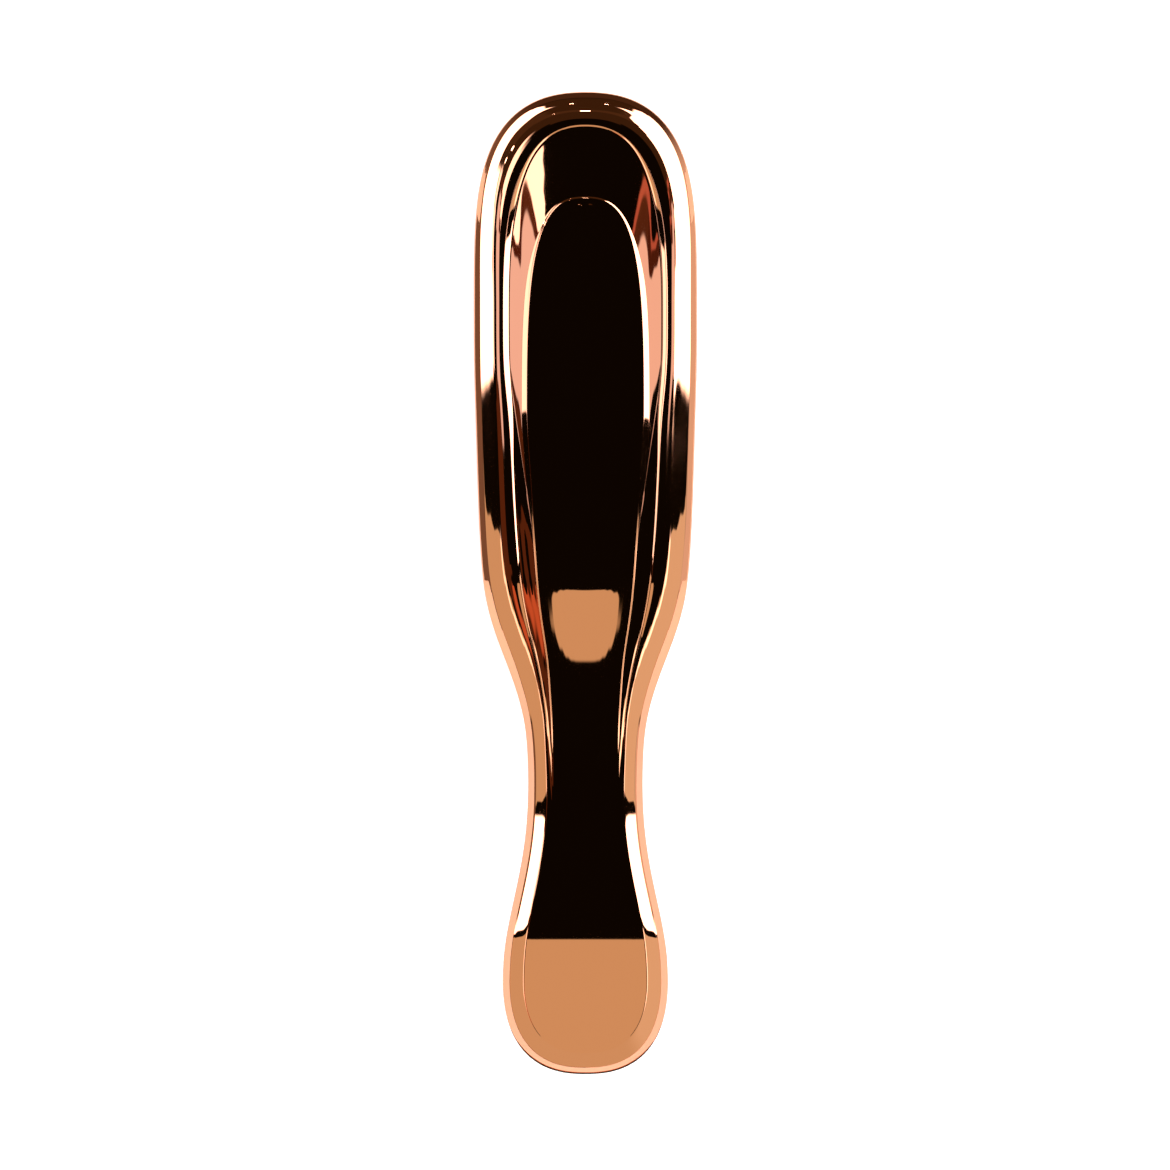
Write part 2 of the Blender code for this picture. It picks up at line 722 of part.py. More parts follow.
def add_tray_and_bosses(front):
    tray = add_object("cushion_tray", lofted("cushion_tray", tray_rings(), True), PARTS, TRAY_PLASTIC)
    ear_top = EAR_Z + TRAY_WALL
    bore_foot = FRONT_Z + SKIN_LEFT
    head_foot = ear_top + GAP
    places = ear_places()
    combine(tray, rods("ears", EAR_RADIUS, ear_top, EAR_Z, places), "UNION")
    combine(front, rods("bosses", BOSS_RADIUS, EAR_Z - GAP, FLOOR_Z - OVERRUN / 2, places), "UNION")
    bores = rods("screw_bores", SCREW_RADIUS + GAP, ear_top + OVERRUN, bore_foot, places, 12)
    combine(tray, bores, "DIFFERENCE")
    combine(front, bores, "DIFFERENCE")
    for number, place in enumerate(places, 1):
        profile = [
            (0.0, head_foot + SCREW_HEAD_HEIGHT),
            (SCREW_HEAD_RADIUS * SCREW_FACE_SHARE, head_foot + SCREW_HEAD_HEIGHT),
            (SCREW_HEAD_RADIUS, head_foot + SCREW_HEAD_HEIGHT * SCREW_RIM_SHARE),
            (SCREW_HEAD_RADIUS, head_foot),
            (SCREW_RADIUS, head_foot),
            (SCREW_RADIUS, head_foot - SCREW_LENGTH),
            (0.0, head_foot - SCREW_LENGTH),
        ]
        shape = turned(f"tray_screw_{number}_shape", profile, 12, (*place, 0.0))
        add_object(f"tray_screw_{number}", evaluated_mesh(shape), PARTS, STEEL, (*place, 0.0))


def add_pegs(front, back):
    """Pegs of the front moulding in sockets of the back one, down the middle of the handle."""
    places = [(0.0, mix(WAIST_Y, END_Y, share)) for share in PEG_PLACE_SHARES]
    top = PARTING_Z + PEG_ENGAGEMENT
    bore = PEG_RADIUS + GAP
    sockets = []
    for place in places:
        roof = crest_height(place[1]) - ROOF / 2
        sockets.append((rod_mesh("socket", bore + PEG_WALL, roof, PARTING_Z), (*place, 0.0)))
    combine(back, helper("sockets", spread("sockets", sockets)), "UNION")
    combine(back, rods("socket_bores", bore, top + GAP, PARTING_Z - OVERRUN, places, 16), "DIFFERENCE")
    combine(front, rods("pegs", PEG_RADIUS, top, FLOOR_Z - OVERRUN / 2, places, 16), "UNION")


def main():
    back = add_object("back_shell", lofted("back_shell", back_inside_rings() + back_rings()), PARTS, PLATED)
    mirror(back)
    front = add_object("front_shell", lofted("front_shell", front_rings()), PARTS, PLATED)
    mirror(front)
    opening_rings = [oval(0.0, height, share) for height, share in (
        (FRONT_Z - OVERRUN, 0.0),
        (FRONT_Z - OVERRUN, 1.0),
        (FLOOR_Z + OVERRUN, 1.0),
        (FLOOR_Z + OVERRUN, 0.0),
    )]
    combine(front, helper("opening", lofted("opening", opening_rings, True)), "DIFFERENCE")
    cushion = add_object("cushion_pad", lofted("cushion_pad", cushion_rings(), True), PARTS, RUBBER)
    add_pin_rows(cushion)
    add_tray_and_bosses(front)
    add_pegs(front, back)


for old in list(bpy.data.objects):
    bpy.data.objects.remove(old, do_unlink=True)
PARTS = new_collection("hair_brush", True)
CUTTERS = new_collection("cutters", False)
main()
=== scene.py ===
"""An oval cushion brush in bright rose-gold plating, lying on its pins on a pale floor.

The back and the front of the body, the rubber cushion and the strips of pins are modelled
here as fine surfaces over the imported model, and the tray and its screws keep their solids.
+Z is up, +Y points to the top of the head, and lengths are in metres.
"""

import json
import math
from types import SimpleNamespace

import bmesh
import bpy
import numpy as np
from bpy.props import FloatProperty, FloatVectorProperty, PointerProperty
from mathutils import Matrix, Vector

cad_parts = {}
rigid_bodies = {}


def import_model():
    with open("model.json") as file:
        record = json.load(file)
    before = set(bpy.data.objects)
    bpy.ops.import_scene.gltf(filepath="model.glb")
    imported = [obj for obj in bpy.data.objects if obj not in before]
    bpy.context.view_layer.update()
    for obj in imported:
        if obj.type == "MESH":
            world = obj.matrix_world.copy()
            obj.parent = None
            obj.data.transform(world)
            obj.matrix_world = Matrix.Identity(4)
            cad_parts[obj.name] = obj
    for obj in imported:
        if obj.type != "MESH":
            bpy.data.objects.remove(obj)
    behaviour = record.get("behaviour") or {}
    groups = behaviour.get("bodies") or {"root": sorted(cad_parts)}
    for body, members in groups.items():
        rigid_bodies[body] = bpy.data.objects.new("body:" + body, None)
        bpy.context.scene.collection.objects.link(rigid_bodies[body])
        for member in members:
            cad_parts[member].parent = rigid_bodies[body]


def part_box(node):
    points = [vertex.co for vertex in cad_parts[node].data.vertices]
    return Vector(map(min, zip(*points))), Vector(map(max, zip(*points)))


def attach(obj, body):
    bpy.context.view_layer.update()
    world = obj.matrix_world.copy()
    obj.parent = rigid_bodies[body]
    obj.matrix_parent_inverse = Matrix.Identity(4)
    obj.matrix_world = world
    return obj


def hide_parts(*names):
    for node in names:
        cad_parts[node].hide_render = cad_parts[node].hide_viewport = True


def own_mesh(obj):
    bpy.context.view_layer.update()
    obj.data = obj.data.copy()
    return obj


bl_info = {
    "name": "Oval Cushion Brush",
    "version": (1, 0, 0),
    "blender": (4, 5, 0),
    "location": "View3D > Sidebar > Brush",
    "description": "Models a plated oval cushion brush, its pins and its studio",
    "category": "Object",
}

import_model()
BACK_LOW, BACK_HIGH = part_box("back_shell")
FRONT_LOW, FRONT_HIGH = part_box("front_shell")
PAD_LOW, PAD_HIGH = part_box("cushion_pad")

# Shares along the sides, from the head's widest place to the handle's
HEAD_FOOT_SHARES = (
    (0.0, 1.0), (0.09, 0.997), (0.15, 0.985), (0.24, 0.962), (0.37, 0.929), (0.456, 0.9),
    (0.544, 0.852), (0.59, 0.815), (0.67, 0.645), (0.76, 0.35), (0.81, 0.2), (0.89, 0.04),
    (1.0, 0.0),
)
CREST_WIDTH_SHARES = (
    (0.0, 0.73), (0.06, 0.73), (0.107, 0.713), (0.153, 0.687), (0.2, 0.677), (0.245, 0.67),
    (0.307, 0.66), (0.37, 0.645), (0.43, 0.626), (0.49, 0.612), (0.6, 0.655), (0.66, 0.675),
    (0.72, 0.655), (0.83, 0.69), (0.91, 0.73), (1.0, 0.735),
)
TONGUE_WIDTH_SHARES = (
    (0.0, 0.53), (0.145, 0.53), (0.25, 0.5), (0.43, 0.457), (0.5, 0.453),
    (0.6, 0.53), (0.68, 0.56), (0.83, 0.55), (1.0, 0.58),
)
GROOVE_FADE_SHARES = ((0.0, 1.0), (0.5, 1.0), (0.58, 0.85), (0.63, 0.5), (0.7, 0.0), (1.0, 0.0))
GROOVE_WALL_SHARES = ((0.0, 1.0), (0.1, 1.0), (0.16, 0.7), (0.22, 0.3), (0.6, 0.25), (1.0, 0.25))
HEAD_TOP_POWERS = (2.4, 4.0)
CREST_TOP_POWERS = (2.4, 2.9)
TONGUE_TOP_POWERS = (3.0, 3.2)
HANDLE_END_POWERS = (2.5, 2.6)
HANDLE_SWELL_POWER = 1.3

# The slope from the outline to the crest: share of the way in, share of its height left
HEAD_SLOPE_SHARES = (
    (0.006, 0.9), (0.016, 0.8), (0.04, 0.702), (0.09, 0.64), (0.2, 0.5015), (0.234, 0.459),
    (0.262, 0.429), (0.44, 0.2574), (0.631, 0.0994), (0.66, 0.079), (0.681, 0.0668),
    (0.723, 0.0472), (0.766, 0.03), (0.794, 0.0212), (0.851, 0.01), (0.922, 0.0021), (1.0, 0.0),
)
HANDLE_SLOPE_SHARES = (
    (0.008, 1.06), (0.02, 1.0), (0.06, 0.92), (0.12, 0.805), (0.26, 0.54), (0.29, 0.483),
    (0.31, 0.45), (0.43, 0.352), (0.68, 0.178), (0.75, 0.129), (0.8, 0.095), (0.85, 0.064),
    (0.885, 0.044), (0.915, 0.028), (0.94, 0.017), (0.97, 0.006), (1.0, 0.0),
)

# The groove, whose walls keep their width: shares of the crest wall's width and of the
# depth, then of the floor, then of the tongue wall's width and of its height
CREST_WALL_SHARES = (
    (0.07, 0.09), (0.25, 0.3), (0.5, 0.58), (0.75, 0.84), (0.92, 0.97), (1.08, 1.0),
)
FLOOR_SHARES = (0.12, 0.5, 0.9)
TONGUE_WALL_SHARES = ((1.05, 0.0), (0.93, 0.04), (0.7, 0.26), (0.4, 0.57), (0.1, 0.9), (0.0, 0.99))
TIP_SHARES = (0.24, 0.24, 0.26, 0.3, 0.37, 0.48, 0.62, 0.76, 0.88, 0.96)
FALL_SHARES = (
    (0.0, 0.0), (0.143, 0.0068), (0.286, 0.027), (0.381, 0.048), (0.448, 0.0667), (0.464, 0.081),
    (0.486, 0.13), (0.514, 0.227), (0.571, 0.42), (0.638, 0.622), (0.733, 0.827), (0.848, 0.949),
    (1.0, 1.0),
)
DROOP_SHARES = ((0.0, 0.0), (0.108, 0.028), (0.189, 0.087), (0.324, 0.22), (1.0, 1.0))
TONGUE_CROWN_SHARES = (
    (0.0, 0.0), (0.345, 0.0), (0.425, 1.0), (0.465, 0.87), (0.505, 0.7), (0.55, 0.6), (0.75, 0.3),
    (0.9, 0.0), (1.0, 0.0),
)

EDGE_FOOT_SHARES = (0.12, 0.5)
TONGUE_INSETS = (0.0003, 0.0016)
MIDDLE_SHARES = (0.16, 0.33, 0.5, 0.67, 0.84, 1.0)
NARROWEST_TONGUE = 0.001

TOP_STEPS, SIDE_STEPS, END_STEPS = 20, 33, 10
OVAL_STEPS = 128
GAP = 0.0003
LIP = 0.001
LIP_THICKNESS = 0.0008
HEAD_FRONT_EDGE = (0.0033, 0.0024)
HANDLE_FRONT_EDGE = (0.0062, 0.0034)
FRONT_FALL_START = 0.064
FRONT_FALL_LENGTH = 0.026
FRONT_TURNS = (88, 76, 63, 50, 36, 22, 8, 0)
OPENING_POWER = 2.4
CROWN_ACROSS_POWER = 2.2
CROWN_ALONG_POWER = 6.0
CURVE_SAMPLES = 400
EVEN_SAMPLES = 41
BODY_WELD = 0.00001
FINE_WELD = 0.000001

# The opening's rounded mouth: step out from the oval, height over the front, share of the oval
MOUTH = (
    (0.0008, -0.001, 0.0), (0.0008, -0.001, 1.0), (0.0007, -0.00005, 1.0),
    (0.00035, 0.0001, 1.0), (0.0001, 0.00035, 1.0), (0.0, 0.0007, 1.0),
    (0.0, 0.004, 1.0), (0.0, 0.004, 0.0),
)
DOME_SHARES = (0.0, 0.12, 0.25, 0.4, 0.55, 0.7, 0.82, 0.92, 0.97)

# Holes in the cushion: shares of the bore and heights
PIN_HOLE = (
    (0.0, -0.002), (2.0, -0.002), (1.75, -0.0001), (1.25, 0.00025), (1.0, 0.0006), (1.0, 0.003),
    (0.0, 0.003),
)
VENT_HOLE = ((0.0, -0.002), (1.0, -0.002), (1.0, 0.004), (0.0, 0.004))

# Surfaces with a grain: the finish's colour, roughness, grain, its height, and metallic
GRAINED = {
    "black_rubber": ("rubber", 0.5, 1500.0, 0.00004, 0.0),
    "black_nylon": ("nylon", 0.28, 700.0, 0.000006, 0.0),
    "tray_plastic": ("tray", 0.42, 900.0, 0.00002, 0.0),
    "screw_steel": ("steel", 0.3, 1200.0, 0.000004, 1.0),
}
INSIDE = {
    "cushion_tray": "tray_plastic",
    "tray_screw_1": "screw_steel",
    "tray_screw_2": "screw_steel",
    "tray_screw_3": "screw_steel",
}

FLOOR_SIZE = 6.0
FLOOR_GLOW, FLOOR_GLOW_MIRRORED = 0.5, 0.15
CAMERA_FOOT = (-0.0001, -0.0001, 0.022)
CAMERA_SENSOR = 36.0


def length(name, default, description, **settings):
    return FloatProperty(name=name, default=default, description=description, unit="LENGTH",
                         **settings)


def factor(name, default, description):
    return FloatProperty(name=name, default=default, description=description, subtype="FACTOR",
                         min=0.0, max=1.0)


def colour(name, default, description):
    return FloatVectorProperty(name=name, default=default, description=description,
                               subtype="COLOR", min=0.0, max=1.0)


class BrushBody(bpy.types.PropertyGroup):
    head_width: length("Head width", BACK_HIGH.x * 2, "Across the head")
    waist_width: length("Waist width", 0.0268, "Across the narrowest place")
    handle_width: length("Handle width", 0.0390, "Across the handle's swell")
    head_top: length("Head top", 0.053, "From the tip to the head's widest place")
    head_foot: length("Head foot", 0.108, "From the head's widest place to the waist")
    handle_swell: length("Handle swell", 0.045, "From the waist to the swell")
    crest_inset: length("Crest inset", 0.0082, "Crest line behind the tip")
    tip_relief: factor("Tip relief", 0.13, "Share by which the slope is lower at the head's tip")
    end_relief: factor("End relief", 0.12, "Share by which it is lower at the handle's end")
    slope_width: length("Slope width", 0.0071, "Outline to crest beside the head")
    crest_end_inset: length("Crest end inset", 0.0055, "Crest line before the end")
    tongue_inset: length("Tongue inset", 0.0252, "Tongue's tip behind the head's tip")
    tongue_top: length("Tongue top", 0.0508, "Length of the tongue's round top")
    edge_height: length("Edge height", 0.005, "Height of the slope up to the crest")
    fall: length("Fall", 0.0044, "Drop of the back from the head to the handle")
    fall_start: length("Fall start", 0.010, "From the head's widest place")
    fall_length: length("Fall length", 0.105, "Length of the drop")
    profile_start: length("Profile start", 0.049, "Where the head's slope starts to change")
    profile_length: length("Profile length", 0.046, "Length over which it becomes the handle's")
    arch: length("Head arch", 0.0007, "Drop of the crest at the head's tip")
    droop: length("Droop", 0.0042, "Drop of the crest at the handle's end")
    droop_length: length("Droop length", 0.0385, "Length of that drop")
    tongue_crown: length("Tongue crown", 0.0004, "Rise of the tongue's middle")
    groove_width: length("Groove width", 0.0054, "Where its walls have full width")
    groove_depth: length("Groove depth", 0.00055, "Below the crest")
    wall_width: length("Groove wall width", 0.0013, "Of each wall of the groove")
    tongue_rise: length("Tongue rise", 0.00045, "Tongue's edge above the crest")
    crest_inset_z: length("Crest depth", 0.00056, "Crest below the highest place")
    wall: length("Wall", 0.002, "Wall of both mouldings")


class BrushCushion(bpy.types.PropertyGroup):
    opening: length("Opening length", 0.102, "Length of the cushion's opening")
    rim: length("Rim width", 0.0061, "Front rim beside the opening")
    tip_inset: length("Tip inset", 0.0115, "Opening behind the head's tip")
    crown: length("Crown", 0.003, "Rise of the cushion's middle")
    sheet: length("Sheet", 0.0013, "Thickness of the rubber")
    shoulder: length("Shoulder", 0.0012, "Rounding at the cushion's edge")
    flange: length("Flange", 0.0022, "Width of the clamped edge")
    vent: length("Vent", 0.0016, "Across the hole for the air")
    edge_clearance: length("Edge clearance", 0.0036, "Between pins and the edge")


class BrushPins(bpy.types.PropertyGroup):
    row_spacing: length("Row spacing", 0.0048, "Between rows")
    pitch: length("Pitch", 0.007, "Between the pins of a row")
    root_radius: length("Root radius", 0.0007, "Of a pin at the cushion")
    neck_radius: length("Neck radius", 0.00055, "Of a pin above its ball")
    ball_radius: length("Ball radius", 0.00095, "Of a pin's tip")
    rail_width: length("Rail width", 0.002, "Of the strip that carries a row")
    rail_height: length("Rail height", 0.001, "Of the strip that carries a row")
    rail_gap: length("Rail gap", 0.0008, "Between a strip and the cushion")


class BrushFinish(bpy.types.PropertyGroup):
    plating: colour("Plating", (0.93, 0.42, 0.24), "Colour of the rose-gold plating")
    plating_roughness: factor("Plating roughness", 0.02, "0 is a perfect mirror")
    polish_depth: length("Polish depth", 0.00000004, "Height of the polishing marks", precision=8)
    rubber: colour("Rubber", (0.016, 0.016, 0.017), "Colour of the air cushion")
    nylon: colour("Nylon", (0.012, 0.012, 0.012), "Colour of the pins")
    tray: colour("Tray", (0.03, 0.03, 0.032), "Colour of the tray behind the cushion")
    steel: colour("Steel", (0.62, 0.61, 0.6), "Colour of the tray's screws")
    floor: colour("Floor", (0.9, 0.89, 0.88), "Colour of the floor")


class BrushStudio(bpy.types.PropertyGroup):
    camera_height: length("Camera height", 1.147, "Above the brush")
    field: length("Field", 0.2752, "Width of the picture at the brush")


def smooth(share):
    share = np.clip(share, 0.0, 1.0)
    return share * share * (3 - 2 * share)


def mix(first, second, share):
    return first + (second - first) * share


def read_shares(shares, place):
    """A table of shares read as one smooth line that never overshoots its points."""
    places, values = np.array(shares).T
    rise = np.diff(values) / np.diff(places)
    slope = np.zeros(len(values))
    same = rise[:-1] * rise[1:] > 0
    slope[1:-1][same] = 2 / (1 / rise[:-1][same] + 1 / rise[1:][same])
    index = np.clip(np.searchsorted(places, place) - 1, 0, len(rise) - 1)
    width = places[index + 1] - places[index]
    part = np.clip((place - places[index]) / width, 0.0, 1.0)
    bend = part * (1 - part) * width
    start = slope[index] - rise[index]
    finish = slope[index + 1] - rise[index]
    line = mix(values[index], values[index + 1], part)
    return line + bend * (start * (1 - part) - finish * part)


def resample(points, steps):
    lengths = np.hypot(*np.diff(points, axis=0).T)
    along = np.concatenate([[0.0], np.cumsum(lengths)])
    wanted = np.linspace(0.0, along[-1], steps + 1)
    return np.column_stack([np.interp(wanted, along, points[:, axis]) for axis in (0, 1)])


def even_out(values):
    """A running mean, level at both ends."""
    weights = np.hanning(EVEN_SAMPLES)
    padded = np.pad(values, EVEN_SAMPLES // 2, mode="reflect")
    return np.convolve(padded, weights / weights.sum(), mode="valid")


def round_end(width, start_y, end_y, powers):
    turn = np.linspace(0.0, math.pi / 2, CURVE_SAMPLES)
    across = width * np.cos(turn) ** (2 / powers[0])
    along = mix(start_y, end_y, np.sin(turn) ** (2 / powers[1]))
    across[-1] = 0.0
    return np.column_stack([across, along])


def body_lines(body):
    """The lines of the body in plan, as stations down its right half from tip to end."""
    tip_y = BACK_HIGH.y
    head_y = tip_y - body.head_top
    waist_y = head_y - body.head_foot
    swell_y = waist_y - body.handle_swell
    end_y = BACK_LOW.y

    def side_place(y):
        return np.clip((head_y - y) / (head_y - swell_y), 0.0, 1.0)

    def outline_side(y):
        foot = read_shares(HEAD_FOOT_SHARES, np.clip((head_y - y) / body.head_foot, 0.0, 1.0))
        swell = smooth(np.clip((waist_y - y) / body.handle_swell, 0.0, 1.0) ** HANDLE_SWELL_POWER)
        head = (body.head_width - body.waist_width) / 2 * foot
        handle = (body.handle_width - body.waist_width) / 2 * swell
        return body.waist_width / 2 + head + handle

    def crest_side(y):
        return outline_side(y) * read_shares(CREST_WIDTH_SHARES, side_place(y))

    def tongue_side(y):
        return outline_side(y) * read_shares(TONGUE_WIDTH_SHARES, side_place(y))

    def half_line(side, line_tip, wide_y, line_end, powers):
        top = round_end(side(wide_y), wide_y, line_tip, powers)[::-1]
        places = np.linspace(wide_y, swell_y, CURVE_SAMPLES)
        middle = np.column_stack([even_out(side(places)), places])
        end = round_end(side(swell_y), swell_y, line_end, HANDLE_END_POWERS)
        parts = [resample(top, TOP_STEPS), resample(middle, SIDE_STEPS), resample(end, END_STEPS)]
        return np.concatenate([parts[0], parts[1][1:], parts[2][1:]])

    tongue_tip = tip_y - body.tongue_inset
    return SimpleNamespace(
        head_y=head_y, tip_y=tip_y, end_y=end_y,
        side_place=side_place,
        outline=half_line(outline_side, tip_y, head_y, end_y, HEAD_TOP_POWERS),
        crest=half_line(crest_side, tip_y - body.crest_inset, head_y,
                        end_y + body.crest_end_inset, CREST_TOP_POWERS),
        tongue=half_line(tongue_side, tongue_tip, tongue_tip - body.tongue_top,
                         end_y + body.crest_end_inset * 1.9, TONGUE_TOP_POWERS),
    )


def inward(line, distance):
    """The same stations moved in square to the line, with its two ends kept on the middle."""
    ahead = np.gradient(line, axis=0)
    ahead[0] = (1.0, 0.0)
    ahead[-1] = (-1.0, 0.0)
    ahead /= np.hypot(*ahead.T)[:, None]
    square = np.column_stack([ahead[:, 1], -ahead[:, 0]])
    moved = line + square * np.reshape(distance, (-1, 1))
    moved[[0, -1], 0] = 0.0
    return moved


def profile_share(body, lines, y):
    return smooth((lines.head_y - body.profile_start - y) / body.profile_length)


def read_even(shares, place, width=0.05):
    """A table of shares read through a running mean, so that its slope changes gently too."""
    dense = np.linspace(-0.5, 1.5, 2001)
    values = read_shares(shares, np.clip(dense, 0.0, 1.0))
    weights = np.hanning(int(width * 1000) + 1)
    values = np.convolve(values, weights / weights.sum(), mode="same")
    return np.interp(np.clip(place, -0.3, 1.3), dense, values)


def crest_height(body, lines, y):
    """Height of the back's crest, along the brush."""
    arch = body.arch * np.clip((y - lines.head_y) / body.head_top, 0.0, 1.0) ** 2
    fall = read_even(FALL_SHARES, (lines.head_y - body.fall_start - y) / body.fall_length)
    past = 1 - (y - lines.end_y) / body.droop_length
    droop = read_shares(DROOP_SHARES, np.clip(past, 0.0, 1.0))
    return BACK_HIGH.z - body.crest_inset_z - body.fall * fall - arch - body.droop * droop


def lifted(line, height):
    return np.column_stack([line, np.broadcast_to(height, len(line))])


def middle_line(ring):
    line = ring.copy()
    line[1:-1, 0] = 0.0
    return line


def back_rings(body, lines):
    """Half rings over the outside of the back, from the parting line to the middle."""
    outline, crest, tongue = lines.outline, lines.crest, lines.tongue
    share = profile_share(body, lines, outline[:, 1])
    rings = [lifted(outline, BACK_LOW.z)]
    relief = 1 - body.tip_relief * np.clip(outline[:, 1] / lines.tip_y, 0.0, 1.0) ** 6
    relief -= body.end_relief * np.clip(outline[:, 1] / lines.end_y, 0.0, 1.0) ** 8
    near = np.clip(body.slope_width / np.hypot(*(crest - outline).T), 0.6, 1.0)
    for (head_in, head_drop), (handle_in, handle_drop) in zip(HEAD_SLOPE_SHARES,
                                                              HANDLE_SLOPE_SHARES):
        place = mix(head_in, handle_in, share)
        line = mix(outline, crest, (place * mix(near, 1.0, place ** 2))[:, None])
        line[[0, -1], 0] = 0.0
        drop = body.edge_height * relief * mix(head_drop, handle_drop, share)
        height = np.maximum(crest_height(body, lines, line[:, 1]) - drop, BACK_LOW.z + 0.0006)
        rings.append(lifted(line, height))
    rings[1:1] = [mix(rings[0], rings[1], share) for share in EDGE_FOOT_SHARES]
    tip = np.ones(len(outline))
    tip[:len(TIP_SHARES)] = TIP_SHARES
    wide = tip * np.minimum(np.hypot(*(crest - tongue).T), body.groove_width)
    along = lines.side_place(crest[:, 1])
    fade = read_shares(GROOVE_FADE_SHARES, along)
    size = wide / body.groove_width * read_shares(GROOVE_WALL_SHARES, along)
    wall = body.wall_width * size
    bottom = -body.groove_depth * size * fade
    top = body.tongue_rise * fade
    foot = top - body.groove_depth * size * fade

    def groove_ring(line, rise):
        rings.append(lifted(line, crest_height(body, lines, line[:, 1]) + rise))

    for place, depth in CREST_WALL_SHARES:
        groove_ring(inward(crest, wall * place), bottom * depth)
    start = inward(crest, wall * CREST_WALL_SHARES[-1][0])
    finish = inward(tongue, -wall * TONGUE_WALL_SHARES[0][0])
    for share in FLOOR_SHARES:
        groove_ring(mix(start, finish, share), mix(bottom, foot, share))
    for place, height in TONGUE_WALL_SHARES:
        groove_ring(inward(tongue, -wall * place), mix(foot, top, height))
    crown = body.tongue_crown * read_even(TONGUE_CROWN_SHARES, lines.side_place(tongue[:, 1]))
    half = np.maximum(tongue[:, 0], NARROWEST_TONGUE)
    edge = len(rings) - 1
    for inset in TONGUE_INSETS:
        groove_ring(inward(tongue, inset), top)
    last = rings[-1]
    rings += [mix(last, middle_line(last), share) for share in MIDDLE_SHARES]
    for ring in rings[edge:]:
        ring[:, 2] += crown * (1 - np.clip(ring[:, 0] / half, 0.0, 1.0) ** 2)
    return rings


def whole_ring(half):
    """A half ring and its mirror image, as one loop."""
    other = half[-2:0:-1] * (-1.0, 1.0, 1.0)
    return np.concatenate([half, other])


def deselect_all():
    for thing in bpy.data.objects:
        thing.select_set(False)


def start_loop(name, ring):
    """A circle whose vertices are brought onto the first ring, each marked with its station."""
    deselect_all()
    low, high = ring.min(axis=0), ring.max(axis=0)
    bpy.ops.mesh.primitive_circle_add(vertices=len(ring), radius=(high[0] - low[0]) / 2)
    thing = bpy.context.active_object
    thing.name = thing.data.name = name
    bpy.ops.object.mode_set(mode="EDIT")
    shape = bmesh.from_edit_mesh(thing.data)
    station = shape.verts.layers.int.new("station")
    shape.verts.ensure_lookup_table()
    for index, vertex in enumerate(shape.verts):
        vertex[station] = index
        vertex.co = ring[index]
        vertex.select = True
    shape.select_flush(True)
    bmesh.update_edit_mesh(thing.data)
    return thing


def place_selected(thing, ring):
    shape = bmesh.from_edit_mesh(thing.data)
    station = shape.verts.layers.int["station"]
    for vertex in shape.verts:
        if vertex.select:
            vertex.co = ring[vertex[station]]
    bmesh.update_edit_mesh(thing.data)


def extrude_through(thing, rings, creased=()):
    """The selected loop drawn on through the rings, with some of them kept sharp."""
    for index, ring in enumerate(rings):
        bpy.ops.mesh.extrude_edges_move()
        place_selected(thing, ring)
        if index in creased:
            bpy.ops.transform.edge_crease(value=1.0)


def select_open_loop(thing, height):
    """The open edge at a height."""
    bpy.ops.mesh.select_all(action="DESELECT")
    shape = bmesh.from_edit_mesh(thing.data)
    for edge in shape.edges:
        if edge.is_boundary and all(abs(v.co.z - height) < 1e-6 for v in edge.verts):
            edge.select = True
    shape.select_flush(True)
    bmesh.update_edit_mesh(thing.data)


def weld(threshold):
    """Vertices that lie together made one, and every face turned outward."""
    bpy.ops.mesh.select_all(action="SELECT")
    bpy.ops.mesh.remove_doubles(threshold=threshold)
    bpy.ops.mesh.normals_make_consistent(inside=False)


def finish_mesh(thing, material, levels=2):
    bpy.ops.object.mode_set(mode="OBJECT")
    modifier = thing.modifiers.new("fine_surface", "SUBSURF")
    modifier.levels = modifier.render_levels = levels
    bpy.ops.object.modifier_apply(modifier=modifier.name)
    thing.data.materials.clear()
    thing.data.materials.append(material)
    bpy.ops.object.shade_smooth()


class NodeTree:
    """Short calls for building a node tree."""

    def __init__(self, tree):
        self.tree = tree

    def add(self, kind, **settings):
        node = self.tree.nodes.new(kind)
        for name, value in settings.items():
            setattr(node, name, value)
        return node

    def link(self, out, into):
        self.tree.links.new(out, into)

    def put(self, socket, value):
        if isinstance(value, bpy.types.NodeSocket):
            self.link(value, socket)
        else:
            socket.default_value = value

    def math(self, operation, *values):
        node = self.add("ShaderNodeMath", operation=operation)
        for socket, value in zip(node.inputs, values):
            self.put(socket, value)
        return node.outputs[0]

    def ramp(self, value, low, high, start=0.0, finish=1.0):
        """A smooth change from one value to another."""
        node = self.add("ShaderNodeMapRange", interpolation_type="SMOOTHSTEP")
        self.put(node.inputs["Value"], value)
        node.inputs["From Min"].default_value = low
        node.inputs["From Max"].default_value = high
        node.inputs["To Min"].default_value = start
        node.inputs["To Max"].default_value = finish
        return node.outputs[0]

    def noise(self, place, scale, detail):
        node = self.add("ShaderNodeTexNoise")
        self.link(place, node.inputs["Vector"])
        node.inputs["Scale"].default_value = scale
        node.inputs["Detail"].default_value = detail
        return node.outputs[0]

    def bump(self, shader, height, distance):
        node = self.add("ShaderNodeBump")
        node.inputs["Distance"].default_value = distance
        self.link(height, node.inputs["Height"])
        self.link(node.outputs[0], shader.inputs["Normal"])

    def add_light(self, mask, colour, total):
        node = self.add("ShaderNodeVectorMath", operation="MULTIPLY_ADD")
        for socket, value in zip(node.inputs, (mask, colour, total)):
            self.put(socket, value)
        return node.outputs[0]

    def band(self, value, low, high, soft):
        """1 between two values and 0 outside them, with a soft edge at each."""
        rise = self.ramp(value, low - soft[0], low + soft[0])
        fall = self.ramp(value, high - soft[1], high + soft[1], 1.0, 0.0)
        return self.math("MULTIPLY", rise, fall)


